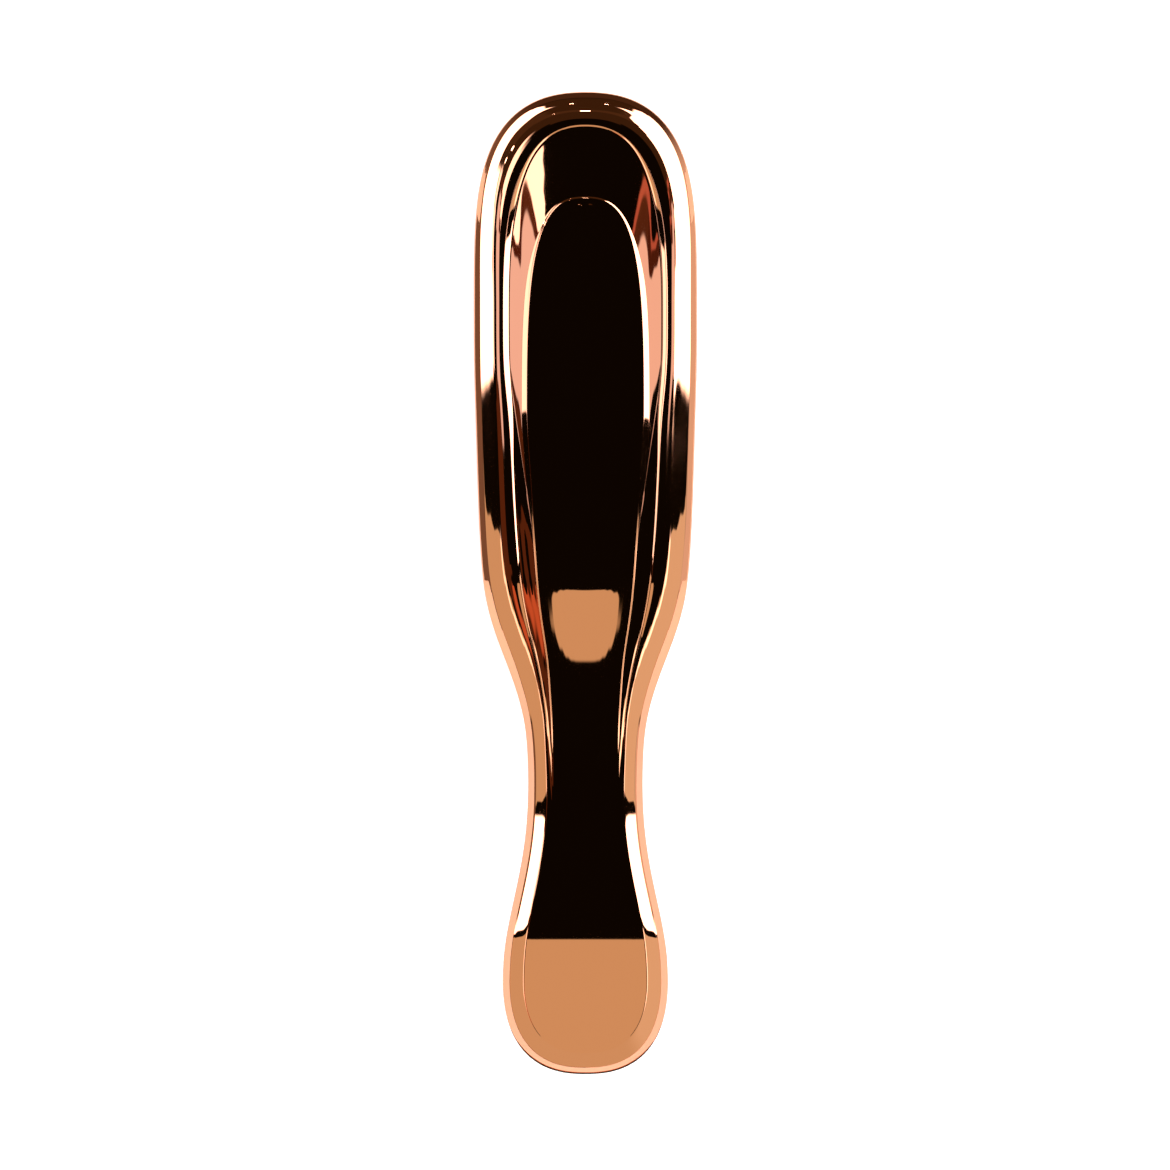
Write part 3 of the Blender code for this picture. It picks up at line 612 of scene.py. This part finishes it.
def start_material(name, colour, metallic=0.0):
    material = bpy.data.materials.new(name)
    material.use_nodes = True
    shader = material.node_tree.nodes["Principled BSDF"]
    shader.inputs["Base Color"].default_value = (*colour, 1.0)
    shader.inputs["Metallic"].default_value = metallic
    return material, NodeTree(material.node_tree), shader


def plating_material(finish):
    """Mirror-bright plating with faint finger marks and hairline polishing."""
    material, nodes, shader = start_material("rose_gold_plating", finish.plating, 1.0)
    place = nodes.add("ShaderNodeTexCoord").outputs["Object"]
    gloss = nodes.ramp(nodes.noise(place, 38.0, 4.0), 0.45, 0.75, finish.plating_roughness,
                       finish.plating_roughness * 1.8)
    nodes.link(gloss, shader.inputs["Roughness"])
    nodes.bump(shader, nodes.noise(place, 900.0, 2.0), finish.polish_depth)
    return material


def grained_material(name, colour, roughness, grain, height, metallic):
    """A moulded or machined surface: its colour and gloss are mottled over a fine grain."""
    material, nodes, shader = start_material(name, colour, metallic)
    place = nodes.add("ShaderNodeTexCoord").outputs["Object"]
    mottle = nodes.noise(place, grain / 8, 3.0)
    nodes.link(nodes.ramp(mottle, 0.3, 0.7, roughness - 0.08, roughness + 0.1),
               shader.inputs["Roughness"])
    tint = nodes.add("ShaderNodeMix", data_type="RGBA")
    nodes.link(nodes.ramp(mottle, 0.35, 0.75), tint.inputs["Factor"])
    tint.inputs[6].default_value = (*colour, 1.0)
    tint.inputs[7].default_value = (*(value * 1.35 for value in colour), 1.0)
    nodes.link(tint.outputs[2], shader.inputs["Base Color"])
    nodes.bump(shader, nodes.noise(place, grain, 4.0), height)
    return material


def get_material(name):
    found = bpy.data.materials.get(name)
    if found:
        return found
    finish = bpy.context.scene.brush_finish
    if name not in GRAINED:
        return plating_material(finish)
    tint, *surface = GRAINED[name]
    return grained_material(name, getattr(finish, tint), *surface)


class MESH_OT_brush_back(bpy.types.Operator):
    """Model the grooved back of the body"""

    bl_idname = "mesh.brush_back"
    bl_label = "Back shell"

    def execute(self, context):
        body = context.scene.brush_body
        lines = body_lines(body)
        rings = [whole_ring(ring) for ring in back_rings(body, lines)]
        thing = start_loop("brush_back", rings[0])
        bpy.ops.transform.edge_crease(value=1.0)
        extrude_through(thing, rings[1:])
        roof_line = inward(lines.outline, body.wall * 2)
        roof = crest_height(body, lines, lines.crest[:, 1]) - body.groove_depth - body.wall * 0.9
        inside = [
            lifted(inward(lines.outline, body.wall), BACK_LOW.z),
            lifted(inward(lines.outline, body.wall * 1.2), mix(BACK_LOW.z, roof, 0.8)),
            lifted(roof_line, roof),
        ]
        inside.append(middle_line(inside[-1]))
        select_open_loop(thing, BACK_LOW.z)
        extrude_through(thing, [whole_ring(ring) for ring in inside], creased=(0,))
        weld(BODY_WELD)
        finish_mesh(thing, get_material("rose_gold_plating"))
        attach(thing, "body")
        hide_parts("back_shell")
        return {"FINISHED"}


def front_edge(lines):
    """Width and height of the front's rounded edge at each station."""
    share = smooth((lines.head_y - FRONT_FALL_START - lines.outline[:, 1]) / FRONT_FALL_LENGTH)
    return [mix(head, handle, share) for head, handle in zip(HEAD_FRONT_EDGE, HANDLE_FRONT_EDGE)]


def front_rings(lines):
    """Half rings over the outside of the front, from the parting line to the middle."""
    width, height = front_edge(lines)
    rings = [lifted(lines.outline, FRONT_HIGH.z - LIP - GAP)]
    for turn in np.radians(FRONT_TURNS):
        line = inward(lines.outline, width * (1 - math.sin(turn)))
        rings.append(lifted(line, FRONT_LOW.z + height * (1 - math.cos(turn))))
    rings.append(mix(rings[-1], middle_line(rings[-1]), 0.5))
    rings.append(middle_line(rings[-1]))
    return rings


def front_inside_rings(body, lines):
    """Half rings over the lip and the floor of the front, from its outer edge to the middle."""
    outline = lines.outline
    seam = FRONT_HIGH.z - LIP - GAP
    floor = FRONT_LOW.z + body.wall
    height = front_edge(lines)[1]
    lip_out = inward(outline, body.wall - LIP_THICKNESS)
    rings = [
        lifted(lip_out, seam),
        lifted(lip_out, FRONT_HIGH.z),
        lifted(inward(outline, body.wall), FRONT_HIGH.z),
        lifted(inward(outline, body.wall + LIP / 2), floor + height),
        lifted(inward(outline, body.wall * 2), floor + (height - HEAD_FRONT_EDGE[1]) / 2),
    ]
    rings.append(middle_line(rings[-1]))
    return rings


def oval(cushion, grow, height, share=1.0):
    """A ring of stations on the cushion's oval, moved out square to its axes."""
    half_width = BACK_HIGH.x - cushion.rim
    half_length = cushion.opening / 2
    turn = np.linspace(0.0, 2 * math.pi, OVAL_STEPS, endpoint=False)
    power = 2 / OPENING_POWER
    across = np.sign(np.cos(turn)) * np.abs(np.cos(turn)) ** power
    along = np.sign(np.sin(turn)) * np.abs(np.sin(turn)) ** power
    spine = 1 - half_width / half_length
    x = (half_width + grow) * across * share
    y = cushion_y(cushion) + (half_length + grow) * along * mix(spine, 1.0, share)
    return np.column_stack([x, y, np.broadcast_to(height, OVAL_STEPS)])


def cushion_y(cushion):
    return BACK_HIGH.y - cushion.tip_inset - cushion.opening / 2


def dome_share(cushion, x, y):
    """1 at the top of the cushion's crown, and 0 at its edge."""
    across = np.clip(np.abs(x) / (BACK_HIGH.x - cushion.rim), 0.0, 1.0) ** CROWN_ACROSS_POWER
    along = np.clip(np.abs(y - cushion_y(cushion)) / (cushion.opening / 2), 0.0, 1.0)
    return (1 - across) * (1 - along ** CROWN_ALONG_POWER)


def dome_ring(cushion, grow, share, lift):
    ring = oval(cushion, grow, 0.0, share)
    edge = PAD_LOW.z + cushion.crown + lift
    ring[:, 2] = edge - cushion.crown * dome_share(cushion, ring[:, 0], ring[:, 1])
    return ring


def pin_rows(cushion, pins):
    """Each row's place across the cushion, and its pins' places along it."""
    half_width = BACK_HIGH.x - cushion.rim - cushion.edge_clearance
    count = 2 * int(half_width / pins.row_spacing) + 1
    rows = []
    for row in range(count):
        x = (row - count // 2) * pins.row_spacing
        reach = (1 - (abs(x) / half_width) ** OPENING_POWER) ** (1 / OPENING_POWER)
        half = (cushion.opening / 2 - cushion.edge_clearance) * reach
        shift = ((row - count // 2) % 2) / 2
        steps = range(-int(half / pins.pitch) - 1, int(half / pins.pitch) + 2)
        places = [(step + shift) * pins.pitch for step in steps]
        rows.append((x, [y for y in places if abs(y) <= half]))
    return rows


def rail_foot(cushion, pins, x, y):
    """Underside of a strip, which just clears the cushion's inside."""
    dome = dome_share(cushion, abs(x) + pins.rail_width / 2, cushion_y(cushion) + y)
    return PAD_LOW.z + cushion.crown * (1 - dome) + cushion.sheet + pins.rail_gap


def combine(thing, tool, operation="DIFFERENCE"):
    """A shape taken out of a piece, or joined to it."""
    bpy.context.view_layer.objects.active = thing
    modifier = thing.modifiers.new("combine", "BOOLEAN")
    modifier.operation = operation
    modifier.solver = "EXACT"
    modifier.object = tool
    bpy.ops.object.modifier_apply(modifier=modifier.name)
    bpy.data.objects.remove(tool, do_unlink=True)


def ring_piece(name, rings):
    """A closed skin drawn on through whole rings, from one point or line to another."""
    thing = start_loop(name, rings[0])
    extrude_through(thing, rings[1:])
    weld(FINE_WELD)
    bpy.ops.object.mode_set(mode="OBJECT")
    return thing


class MESH_OT_brush_front(bpy.types.Operator):
    """Model the front of the body with its opening"""

    bl_idname = "mesh.brush_front"
    bl_label = "Front shell"

    def execute(self, context):
        body = context.scene.brush_body
        cushion = context.scene.brush_cushion
        lines = body_lines(body)
        rings = [whole_ring(ring) for ring in front_rings(lines)]
        thing = start_loop("brush_front", rings[0])
        bpy.ops.transform.edge_crease(value=1.0)
        extrude_through(thing, rings[1:])
        inside = [whole_ring(ring) for ring in front_inside_rings(body, lines)]
        select_open_loop(thing, FRONT_HIGH.z - LIP - GAP)
        extrude_through(thing, inside, creased=(0, 1, 2))
        weld(BODY_WELD)
        finish_mesh(thing, get_material("rose_gold_plating"))
        mouth = [oval(cushion, grow, FRONT_LOW.z + rise, share) for grow, rise, share in MOUTH]
        combine(thing, ring_piece("mouth", mouth))
        thing.select_set(True)
        bpy.ops.object.shade_smooth_by_angle(angle=math.radians(30))
        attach(thing, "body")
        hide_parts("front_shell")
        return {"FINISHED"}


class MESH_OT_brush_cushion(bpy.types.Operator):
    """Model the rubber air cushion, with a hole for each pin"""

    bl_idname = "mesh.brush_cushion"
    bl_label = "Cushion"

    def execute(self, context):
        cushion = context.scene.brush_cushion
        pins = context.scene.brush_pins
        side = -GAP
        inner = side - cushion.sheet
        edge_z = PAD_LOW.z + cushion.crown
        flange_z = PAD_HIGH.z - cushion.sheet
        rings = [dome_ring(cushion, side - cushion.shoulder, share, 0.0) for share in DOME_SHARES]
        rings += [
            dome_ring(cushion, side - cushion.shoulder * 0.5, 1.0, 0.0),
            oval(cushion, side - cushion.shoulder * 0.15, edge_z + cushion.shoulder * 0.15),
            oval(cushion, side, edge_z + cushion.shoulder * 0.6),
            oval(cushion, side, flange_z - GAP / 4),
            oval(cushion, side, flange_z),
            oval(cushion, cushion.flange, flange_z),
            oval(cushion, cushion.flange, flange_z + cushion.sheet),
            oval(cushion, inner, flange_z + cushion.sheet),
            oval(cushion, inner, edge_z + cushion.sheet + cushion.shoulder / 2),
        ]
        for share in DOME_SHARES[::-1]:
            rings.append(dome_ring(cushion, inner - cushion.shoulder / 2, share, cushion.sheet))
        thing = ring_piece("rubber_cushion", rings)
        finish_mesh(thing, get_material("black_rubber"), levels=1)
        combine(thing, pin_hole_cutter(cushion, pins))
        combine(thing, vent_cutter(cushion, pins))
        thing.select_set(True)
        bpy.ops.object.shade_smooth_by_angle(angle=math.radians(35))
        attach(thing, "body")
        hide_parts("cushion_pad")
        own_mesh(thing)
        return {"FINISHED"}


def turned(name, profile, sides, place=(0.0, 0.0, 0.0)):
    """A profile spun round an upright axis."""
    turn = np.linspace(0.0, 2 * math.pi, sides, endpoint=False)
    unit = np.column_stack([-np.sin(turn), np.cos(turn), np.zeros(sides)])
    return ring_piece(name, [unit * radius + place + (0.0, 0.0, height)
                             for radius, height in profile])


def copies_of(thing, places, name):
    """Copies of a shape at their places, joined into one mesh."""
    shape = bmesh.new()
    for place in places:
        before = len(shape.verts)
        shape.from_mesh(thing.data)
        shape.verts.ensure_lookup_table()
        bmesh.ops.translate(shape, verts=shape.verts[before:], vec=place)
    mesh = bpy.data.meshes.new(name)
    shape.to_mesh(mesh)
    shape.free()
    joined = bpy.data.objects.new(name, mesh)
    bpy.context.scene.collection.objects.link(joined)
    return joined


def pin_hole_cutter(cushion, pins):
    """A flared rod at each pin's place, from below the crown to above the sheet."""
    bore = pins.root_radius + GAP
    rod = turned("hole", [(share * bore, height) for share, height in PIN_HOLE], 16)
    places = []
    for x, steps in pin_rows(cushion, pins):
        for y in steps:
            dome = dome_share(cushion, x, cushion_y(cushion) + y)
            places.append((x, cushion_y(cushion) + y, PAD_LOW.z + cushion.crown * (1 - dome)))
    cutter = copies_of(rod, places, "holes")
    bpy.data.objects.remove(rod, do_unlink=True)
    return cutter


def vent_cutter(cushion, pins):
    """The hole between two rows that lets the cushion breathe."""
    place = (pins.row_spacing / 2, cushion_y(cushion) - pins.pitch / 4, PAD_LOW.z)
    profile = [(share * cushion.vent / 2, height) for share, height in VENT_HOLE]
    return turned("vent", profile, 24, place)


class MESH_OT_brush_pins(bpy.types.Operator):
    """Model the strips of ball-tipped nylon pins"""

    bl_idname = "mesh.brush_pins"
    bl_label = "Pins"

    def execute(self, context):
        cushion = context.scene.brush_cushion
        pins = context.scene.brush_pins
        ball = pins.ball_radius
        foot = PAD_LOW.z + cushion.sheet + pins.rail_gap
        root = foot + pins.rail_height / 2
        profile = [(0.0, root), (pins.root_radius, root)]
        for share in (0.25, 0.5, 0.75):
            radius = mix(pins.root_radius, pins.neck_radius, share)
            profile.append((radius, mix(root, ball * 2, share)))
        profile.append((pins.neck_radius, ball * 2.1))
        profile.append((pins.neck_radius * 1.02, ball * 1.95))
        for angle in range(50, -90, -20):
            turn = math.radians(angle)
            profile.append((ball * math.cos(turn), ball + ball * math.sin(turn)))
        profile.append((0.0, 0.0))
        pin = turned("pin", profile, 12)
        middle = cushion_y(cushion)
        for number, (x, steps) in enumerate(pin_rows(cushion, pins), 1):
            places = []
            for y in steps:
                places.append((x, middle + y, rail_foot(cushion, pins, x, y) - foot))
            row = copies_of(pin, places, f"pins_{number}")
            rail = pin_rail(cushion, pins, x, steps, f"rail_{number}")
            deselect_all()
            row.select_set(True)
            combine(row, rail, "UNION")
            row.data.materials.clear()
            row.data.materials.append(get_material("black_nylon"))
            bpy.ops.object.shade_smooth_by_angle(angle=math.radians(40))
            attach(row, f"row_{number}")
            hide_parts(f"pin_row_{number}")
        bpy.data.objects.remove(pin, do_unlink=True)
        return {"FINISHED"}


def pin_rail(cushion, pins, x, steps, name):
    """The strip that carries a row, which follows the crown."""
    middle = cushion_y(cushion)
    end = pins.rail_width / 2
    stops = sorted([steps[0] - end, steps[-1] + end] + steps[::2])
    rings = []
    for y in stops:
        foot = rail_foot(cushion, pins, x, y)
        head = foot + pins.rail_height
        corners = ((-end, foot), (end, foot), (end, head), (-end, head))
        rings.append(np.array([(x + across, middle + y, height) for across, height in corners]))
    caps = [np.tile(ring.mean(axis=0), (4, 1)) for ring in (rings[0], rings[-1])]
    return ring_piece(name, [caps[0], *rings, caps[1]])


class MESH_OT_brush_inside(bpy.types.Operator):
    """Finish the tray and the screws, which keep their solids"""

    bl_idname = "mesh.brush_inside"
    bl_label = "Tray and screws"

    def execute(self, context):
        for name, material in INSIDE.items():
            slots = bpy.data.objects[name].data.materials
            slots.clear()
            slots.append(get_material(material))
        return {"FINISHED"}


class SCENE_OT_brush_stage(bpy.types.Operator):
    """Set the floor, the light and the camera"""

    bl_idname = "scene.brush_stage"
    bl_label = "Stage"

    def execute(self, context):
        studio = context.scene.brush_studio
        finish = context.scene.brush_finish
        deselect_all()
        bpy.ops.mesh.primitive_plane_add(size=FLOOR_SIZE, location=(0.0, 0.0, 0.0))
        floor = context.active_object
        floor.name = "floor"
        floor.data.materials.append(floor_material(finish))
        light_world(context.scene)
        add_lamps()
        height = studio.camera_height
        place = (*CAMERA_FOOT[:2], CAMERA_FOOT[2] + height)
        bpy.ops.object.camera_add(location=place, rotation=(0.0, 0.0, 0.0))
        camera = context.active_object
        camera.name = "camera"
        camera.data.sensor_width = CAMERA_SENSOR
        camera.data.lens = CAMERA_SENSOR * height / studio.field
        camera.data.clip_start = 0.01
        context.scene.camera = camera
        context.scene.view_settings.view_transform = "Standard"
        return {"FINISHED"}


def floor_material(finish):
    """A pale floor that the camera and the plating see as white, with the brush's shadow on it."""
    material, nodes, shader = start_material("pale_floor", finish.floor)
    shader.inputs["Roughness"].default_value = 0.9
    shader.inputs["Specular IOR Level"].default_value = 0.0
    path = nodes.add("ShaderNodeLightPath")
    mirrored = nodes.math("MAXIMUM", path.outputs["Is Glossy Ray"],
                          path.outputs["Is Transmission Ray"])
    seen = nodes.math("ADD", nodes.math("MULTIPLY", path.outputs["Is Camera Ray"], FLOOR_GLOW),
                      nodes.math("MULTIPLY", mirrored, FLOOR_GLOW_MIRRORED))
    glow = nodes.add("ShaderNodeEmission")
    nodes.link(seen, glow.inputs["Strength"])
    total = nodes.add("ShaderNodeAddShader")
    nodes.link(shader.outputs[0], total.inputs[0])
    nodes.link(glow.outputs[0], total.inputs[1])
    nodes.link(total.outputs[0], material.node_tree.nodes["Material Output"].inputs["Surface"])
    return material


# The studio by direction: side, reach along and its soft edges, where a taper along starts
# and ends, reach upward at each end of it, and colour. Reach along is the sine of the angle
# from the brush's side toward its tip, and reach upward the tangent of that from level.
ZONES = (
    (-1, (0.012, 1.1), (0.006, 0.006), (0.8, 1.02), (0.16, 0.75), (0.58, 0.5), (4.5, 4.6, 4.9)),
    (1, (0.009, 1.1), (0.005, 0.006), (0.7, 1.015), (0.16, 1.66), (0.58, 0.5), (4.5, 4.6, 4.9)),
    (-1, (0.03, 0.45), (0.006, 0.04), (0.3, 0.6), (0.8, 1.25), (0.8, 1.0), (2.2, 2.3, 2.5)),
    (1, (-0.72, -0.08), (0.05, 0.02), (-0.7, 0.0), (0.93, 1.22), (0.93, 1.22), (1.9, 1.9, 2.0)),
    (-1, (-0.72, -0.08), (0.05, 0.02), (-0.7, 0.0), (0.95, 1.2), (0.95, 1.2), (1.4, 1.4, 1.5)),
    (-1, (0.04, 0.42), (0.006, 0.01), (0.3, 0.6), (1.9, 4.6), (1.9, 4.6), (0.98, 0.96, 1.09)),
    (-1, (0.49, 0.85), (0.01, 0.05), (0.3, 0.6), (2.4, 4.6), (2.4, 4.6), (2.6, 2.6, 2.7)),
    (1, (0.055, 0.37), (0.006, 0.01), (0.3, 0.6), (1.9, 4.6), (1.9, 4.6), (0.98, 0.93, 1.0)),
    (1, (0.37, 0.46), (0.01, 0.01), (0.3, 0.6), (1.9, 4.6), (1.9, 4.6), (0.07, 0.02, 0.01)),
    (1, (0.46, 0.5), (0.01, 0.01), (0.3, 0.6), (1.9, 4.6), (1.9, 4.6), (0.5, 0.16, 0.12)),
    (-1, (0.42, 0.49), (0.01, 0.01), (0.3, 0.6), (1.7, 4.6), (1.7, 4.6), (0.08, 0.02, 0.01)),
    (-1, (-0.66, 0.03), (0.03, 0.01), (0.3, 0.6), (1.5, 4.0), (1.5, 4.0), (0.09, 0.03, 0.012)),
    (-1, (-0.87, -0.7), (0.02, 0.05), (0.3, 0.6), (1.3, 2.7), (1.3, 2.7), (0.6, 0.16, 0.07)),
    (-1, (-1.1, 0.75), (0.1, 0.25), (0.3, 0.9), (-9.0, 0.14), (-9.0, 0.2), (0.2, 0.145, 0.11)),
    (-1, (0.75, 1.1), (0.25, 0.1), (0.3, 0.9), (-9.0, 0.14), (-9.0, 0.2), (0.06, 0.035, 0.02)),
    (1, (-1.1, 0.5), (0.1, 0.25), (0.3, 0.9), (-9.0, 0.14), (-9.0, 0.14), (0.8, 0.75, 0.7)),
    (1, (0.5, 1.1), (0.25, 0.1), (0.3, 0.9), (-9.0, 0.14), (-9.0, 0.2), (0.06, 0.035, 0.02)),
    (0, (0.4, 1.1), (0.15, 0.1), (0.3, 0.9), (0.3, 3.3), (0.3, 3.3), (0.04, 0.023, 0.01)),
    (0, (0.6, 1.1), (0.1, 0.1), (0.3, 0.9), (0.75, 1.1), (0.75, 1.1), (0.03, 0.018, 0.01)),
    (0, (-1.1, -0.011), (0.1, 0.005), (-0.12, -0.007), (0.16, 1.3), (0.16, 0.2),
     (0.68, 0.62, 0.44)),
    (1, (-0.8, -0.011), (0.1, 0.005), (-0.12, -0.007), (0.16, 1.3), (0.16, 0.2),
     (0.12, 0.16, 0.18)),
)
RISE_EDGE = 0.02
WALL_START = 1.3
WALL_SIDE = 0.43
WALL_TOP = 4.3
WALL_COLOUR = (0.68, 0.61, 0.42)
OVERHEAD = (0.004, 0.003, 0.001)


def light_world(scene):
    """Two tall soft boxes beside the brush, a warm wall behind its handle, and dark overhead."""
    world = bpy.data.worlds.new("studio")
    scene.world = world
    world.use_nodes = True
    nodes = NodeTree(world.node_tree)
    ray = nodes.add("ShaderNodeTexCoord").outputs["Generated"]
    axes = nodes.add("ShaderNodeSeparateXYZ")
    nodes.link(ray, axes.inputs[0])
    x, y, z = axes.outputs
    level = nodes.math("SQRT", nodes.math("ADD", nodes.math("MULTIPLY", x, x),
                                          nodes.math("MULTIPLY", y, y)))
    level = nodes.math("MAXIMUM", level, 0.0001)
    along = nodes.math("DIVIDE", y, level)
    rise = nodes.math("DIVIDE", z, level)
    left = nodes.math("LESS_THAN", x, 0.0)
    sides = {-1: left, 1: nodes.math("SUBTRACT", 1.0, left), 0: 1.0}
    total = OVERHEAD
    for side, (near, far), edges, (first, last), lows_highs, far_lows_highs, colour in ZONES:
        low, high = (nodes.ramp(along, first, last, value, far_value)
                     for value, far_value in zip(lows_highs, far_lows_highs))
        over = nodes.ramp(nodes.math("SUBTRACT", rise, low), -RISE_EDGE, RISE_EDGE)
        under = nodes.ramp(nodes.math("SUBTRACT", high, rise), -RISE_EDGE, RISE_EDGE)
        mask = nodes.math("MULTIPLY", nodes.band(along, near, far, edges), sides[side])
        mask = nodes.math("MULTIPLY", mask, nodes.math("MULTIPLY", over, under))
        total = nodes.add_light(mask, colour, total)
    back = nodes.math("MAXIMUM", nodes.math("MULTIPLY", y, -1.0), 0.0001)
    across = nodes.math("DIVIDE", nodes.math("ABSOLUTE", nodes.math("DIVIDE", x, back)), WALL_SIDE)
    upward = nodes.math("DIVIDE", nodes.math("DIVIDE", z, back), WALL_TOP)
    reach = nodes.math("ADD", nodes.math("POWER", across, 4.0), nodes.math("POWER", upward, 4.0))
    mask = nodes.math("MULTIPLY", nodes.ramp(reach, 0.93, 1.07, 1.0, 0.0),
                      nodes.ramp(rise, WALL_START - RISE_EDGE, WALL_START + RISE_EDGE))
    total = nodes.add_light(mask, WALL_COLOUR, total)
    seen = nodes.add("ShaderNodeLightPath").outputs["Is Camera Ray"]
    total = nodes.add_light(nodes.math("SUBTRACT", 1.0, seen), total, seen)
    nodes.link(total, world.node_tree.nodes["Background"].inputs["Color"])


LAMPS = (
    ("speck_left", (-0.063, 0.90, 0.42), (0.026, 0.01), 0.015),
    ("speck_right", (0.108, 0.90, 0.42), (0.026, 0.01), 0.02),
    ("speck_middle", (0.0, 0.84, 0.71), (0.04, 0.016), 0.03),
    ("speck_side", (-0.185, 0.80, 0.66), (0.026, 0.012), 0.03),
    ("speck_shoulder", (-0.635, 0.609, 0.926), (0.04, 0.1), 0.15),
    ("speck_low", (-0.702, 0.513, 0.846), (0.04, 0.1), 0.15),
)


def add_lamps():
    for name, place, size, power in LAMPS:
        add_lamp(name, place, size, power)
    fill = add_lamp("fill", (0.0, 0.25, 1.2), (0.25, 0.1), 2.0)
    fill.visible_glossy = False


def add_lamp(name, place, size, power):
    """A small lamp that faces the top of the head."""
    bpy.ops.object.light_add(type="AREA", location=place)
    lamp = bpy.context.active_object
    lamp.name = name
    lamp.data.shape = "RECTANGLE"
    lamp.data.size, lamp.data.size_y = size
    lamp.data.energy = power
    aim = np.array(place) - (0.0, 0.1, 0.0)
    across = math.hypot(aim[0], aim[1])
    lamp.rotation_euler = (math.atan2(across, aim[2]), 0.0, math.atan2(aim[0], -aim[1]))
    return lamp


class VIEW3D_PT_brush(bpy.types.Panel):
    """Lists the brush's pieces"""

    bl_label = "Cushion brush"
    bl_space_type = "VIEW_3D"
    bl_region_type = "UI"
    bl_category = "Brush"

    def draw(self, context):
        for operator in OPERATORS:
            self.layout.operator(operator.bl_idname)


OPERATORS = (
    MESH_OT_brush_back, MESH_OT_brush_front, MESH_OT_brush_cushion, MESH_OT_brush_pins,
    MESH_OT_brush_inside, SCENE_OT_brush_stage,
)
GROUPS = {
    "brush_body": BrushBody, "brush_cushion": BrushCushion, "brush_pins": BrushPins,
    "brush_finish": BrushFinish, "brush_studio": BrushStudio,
}
CLASSES = (*GROUPS.values(), *OPERATORS, VIEW3D_PT_brush)


def register():
    for item in CLASSES:
        bpy.utils.register_class(item)
    for name, group in GROUPS.items():
        setattr(bpy.types.Scene, name, PointerProperty(type=group))


def unregister():
    for name in GROUPS:
        delattr(bpy.types.Scene, name)
    for item in reversed(CLASSES):
        bpy.utils.unregister_class(item)


def main():
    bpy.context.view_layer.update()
    register()
    bpy.ops.mesh.brush_back()
    bpy.ops.mesh.brush_front()
    bpy.ops.mesh.brush_cushion()
    bpy.ops.mesh.brush_pins()
    bpy.ops.mesh.brush_inside()
    bpy.ops.scene.brush_stage()


if __name__ == "__main__":
    main()
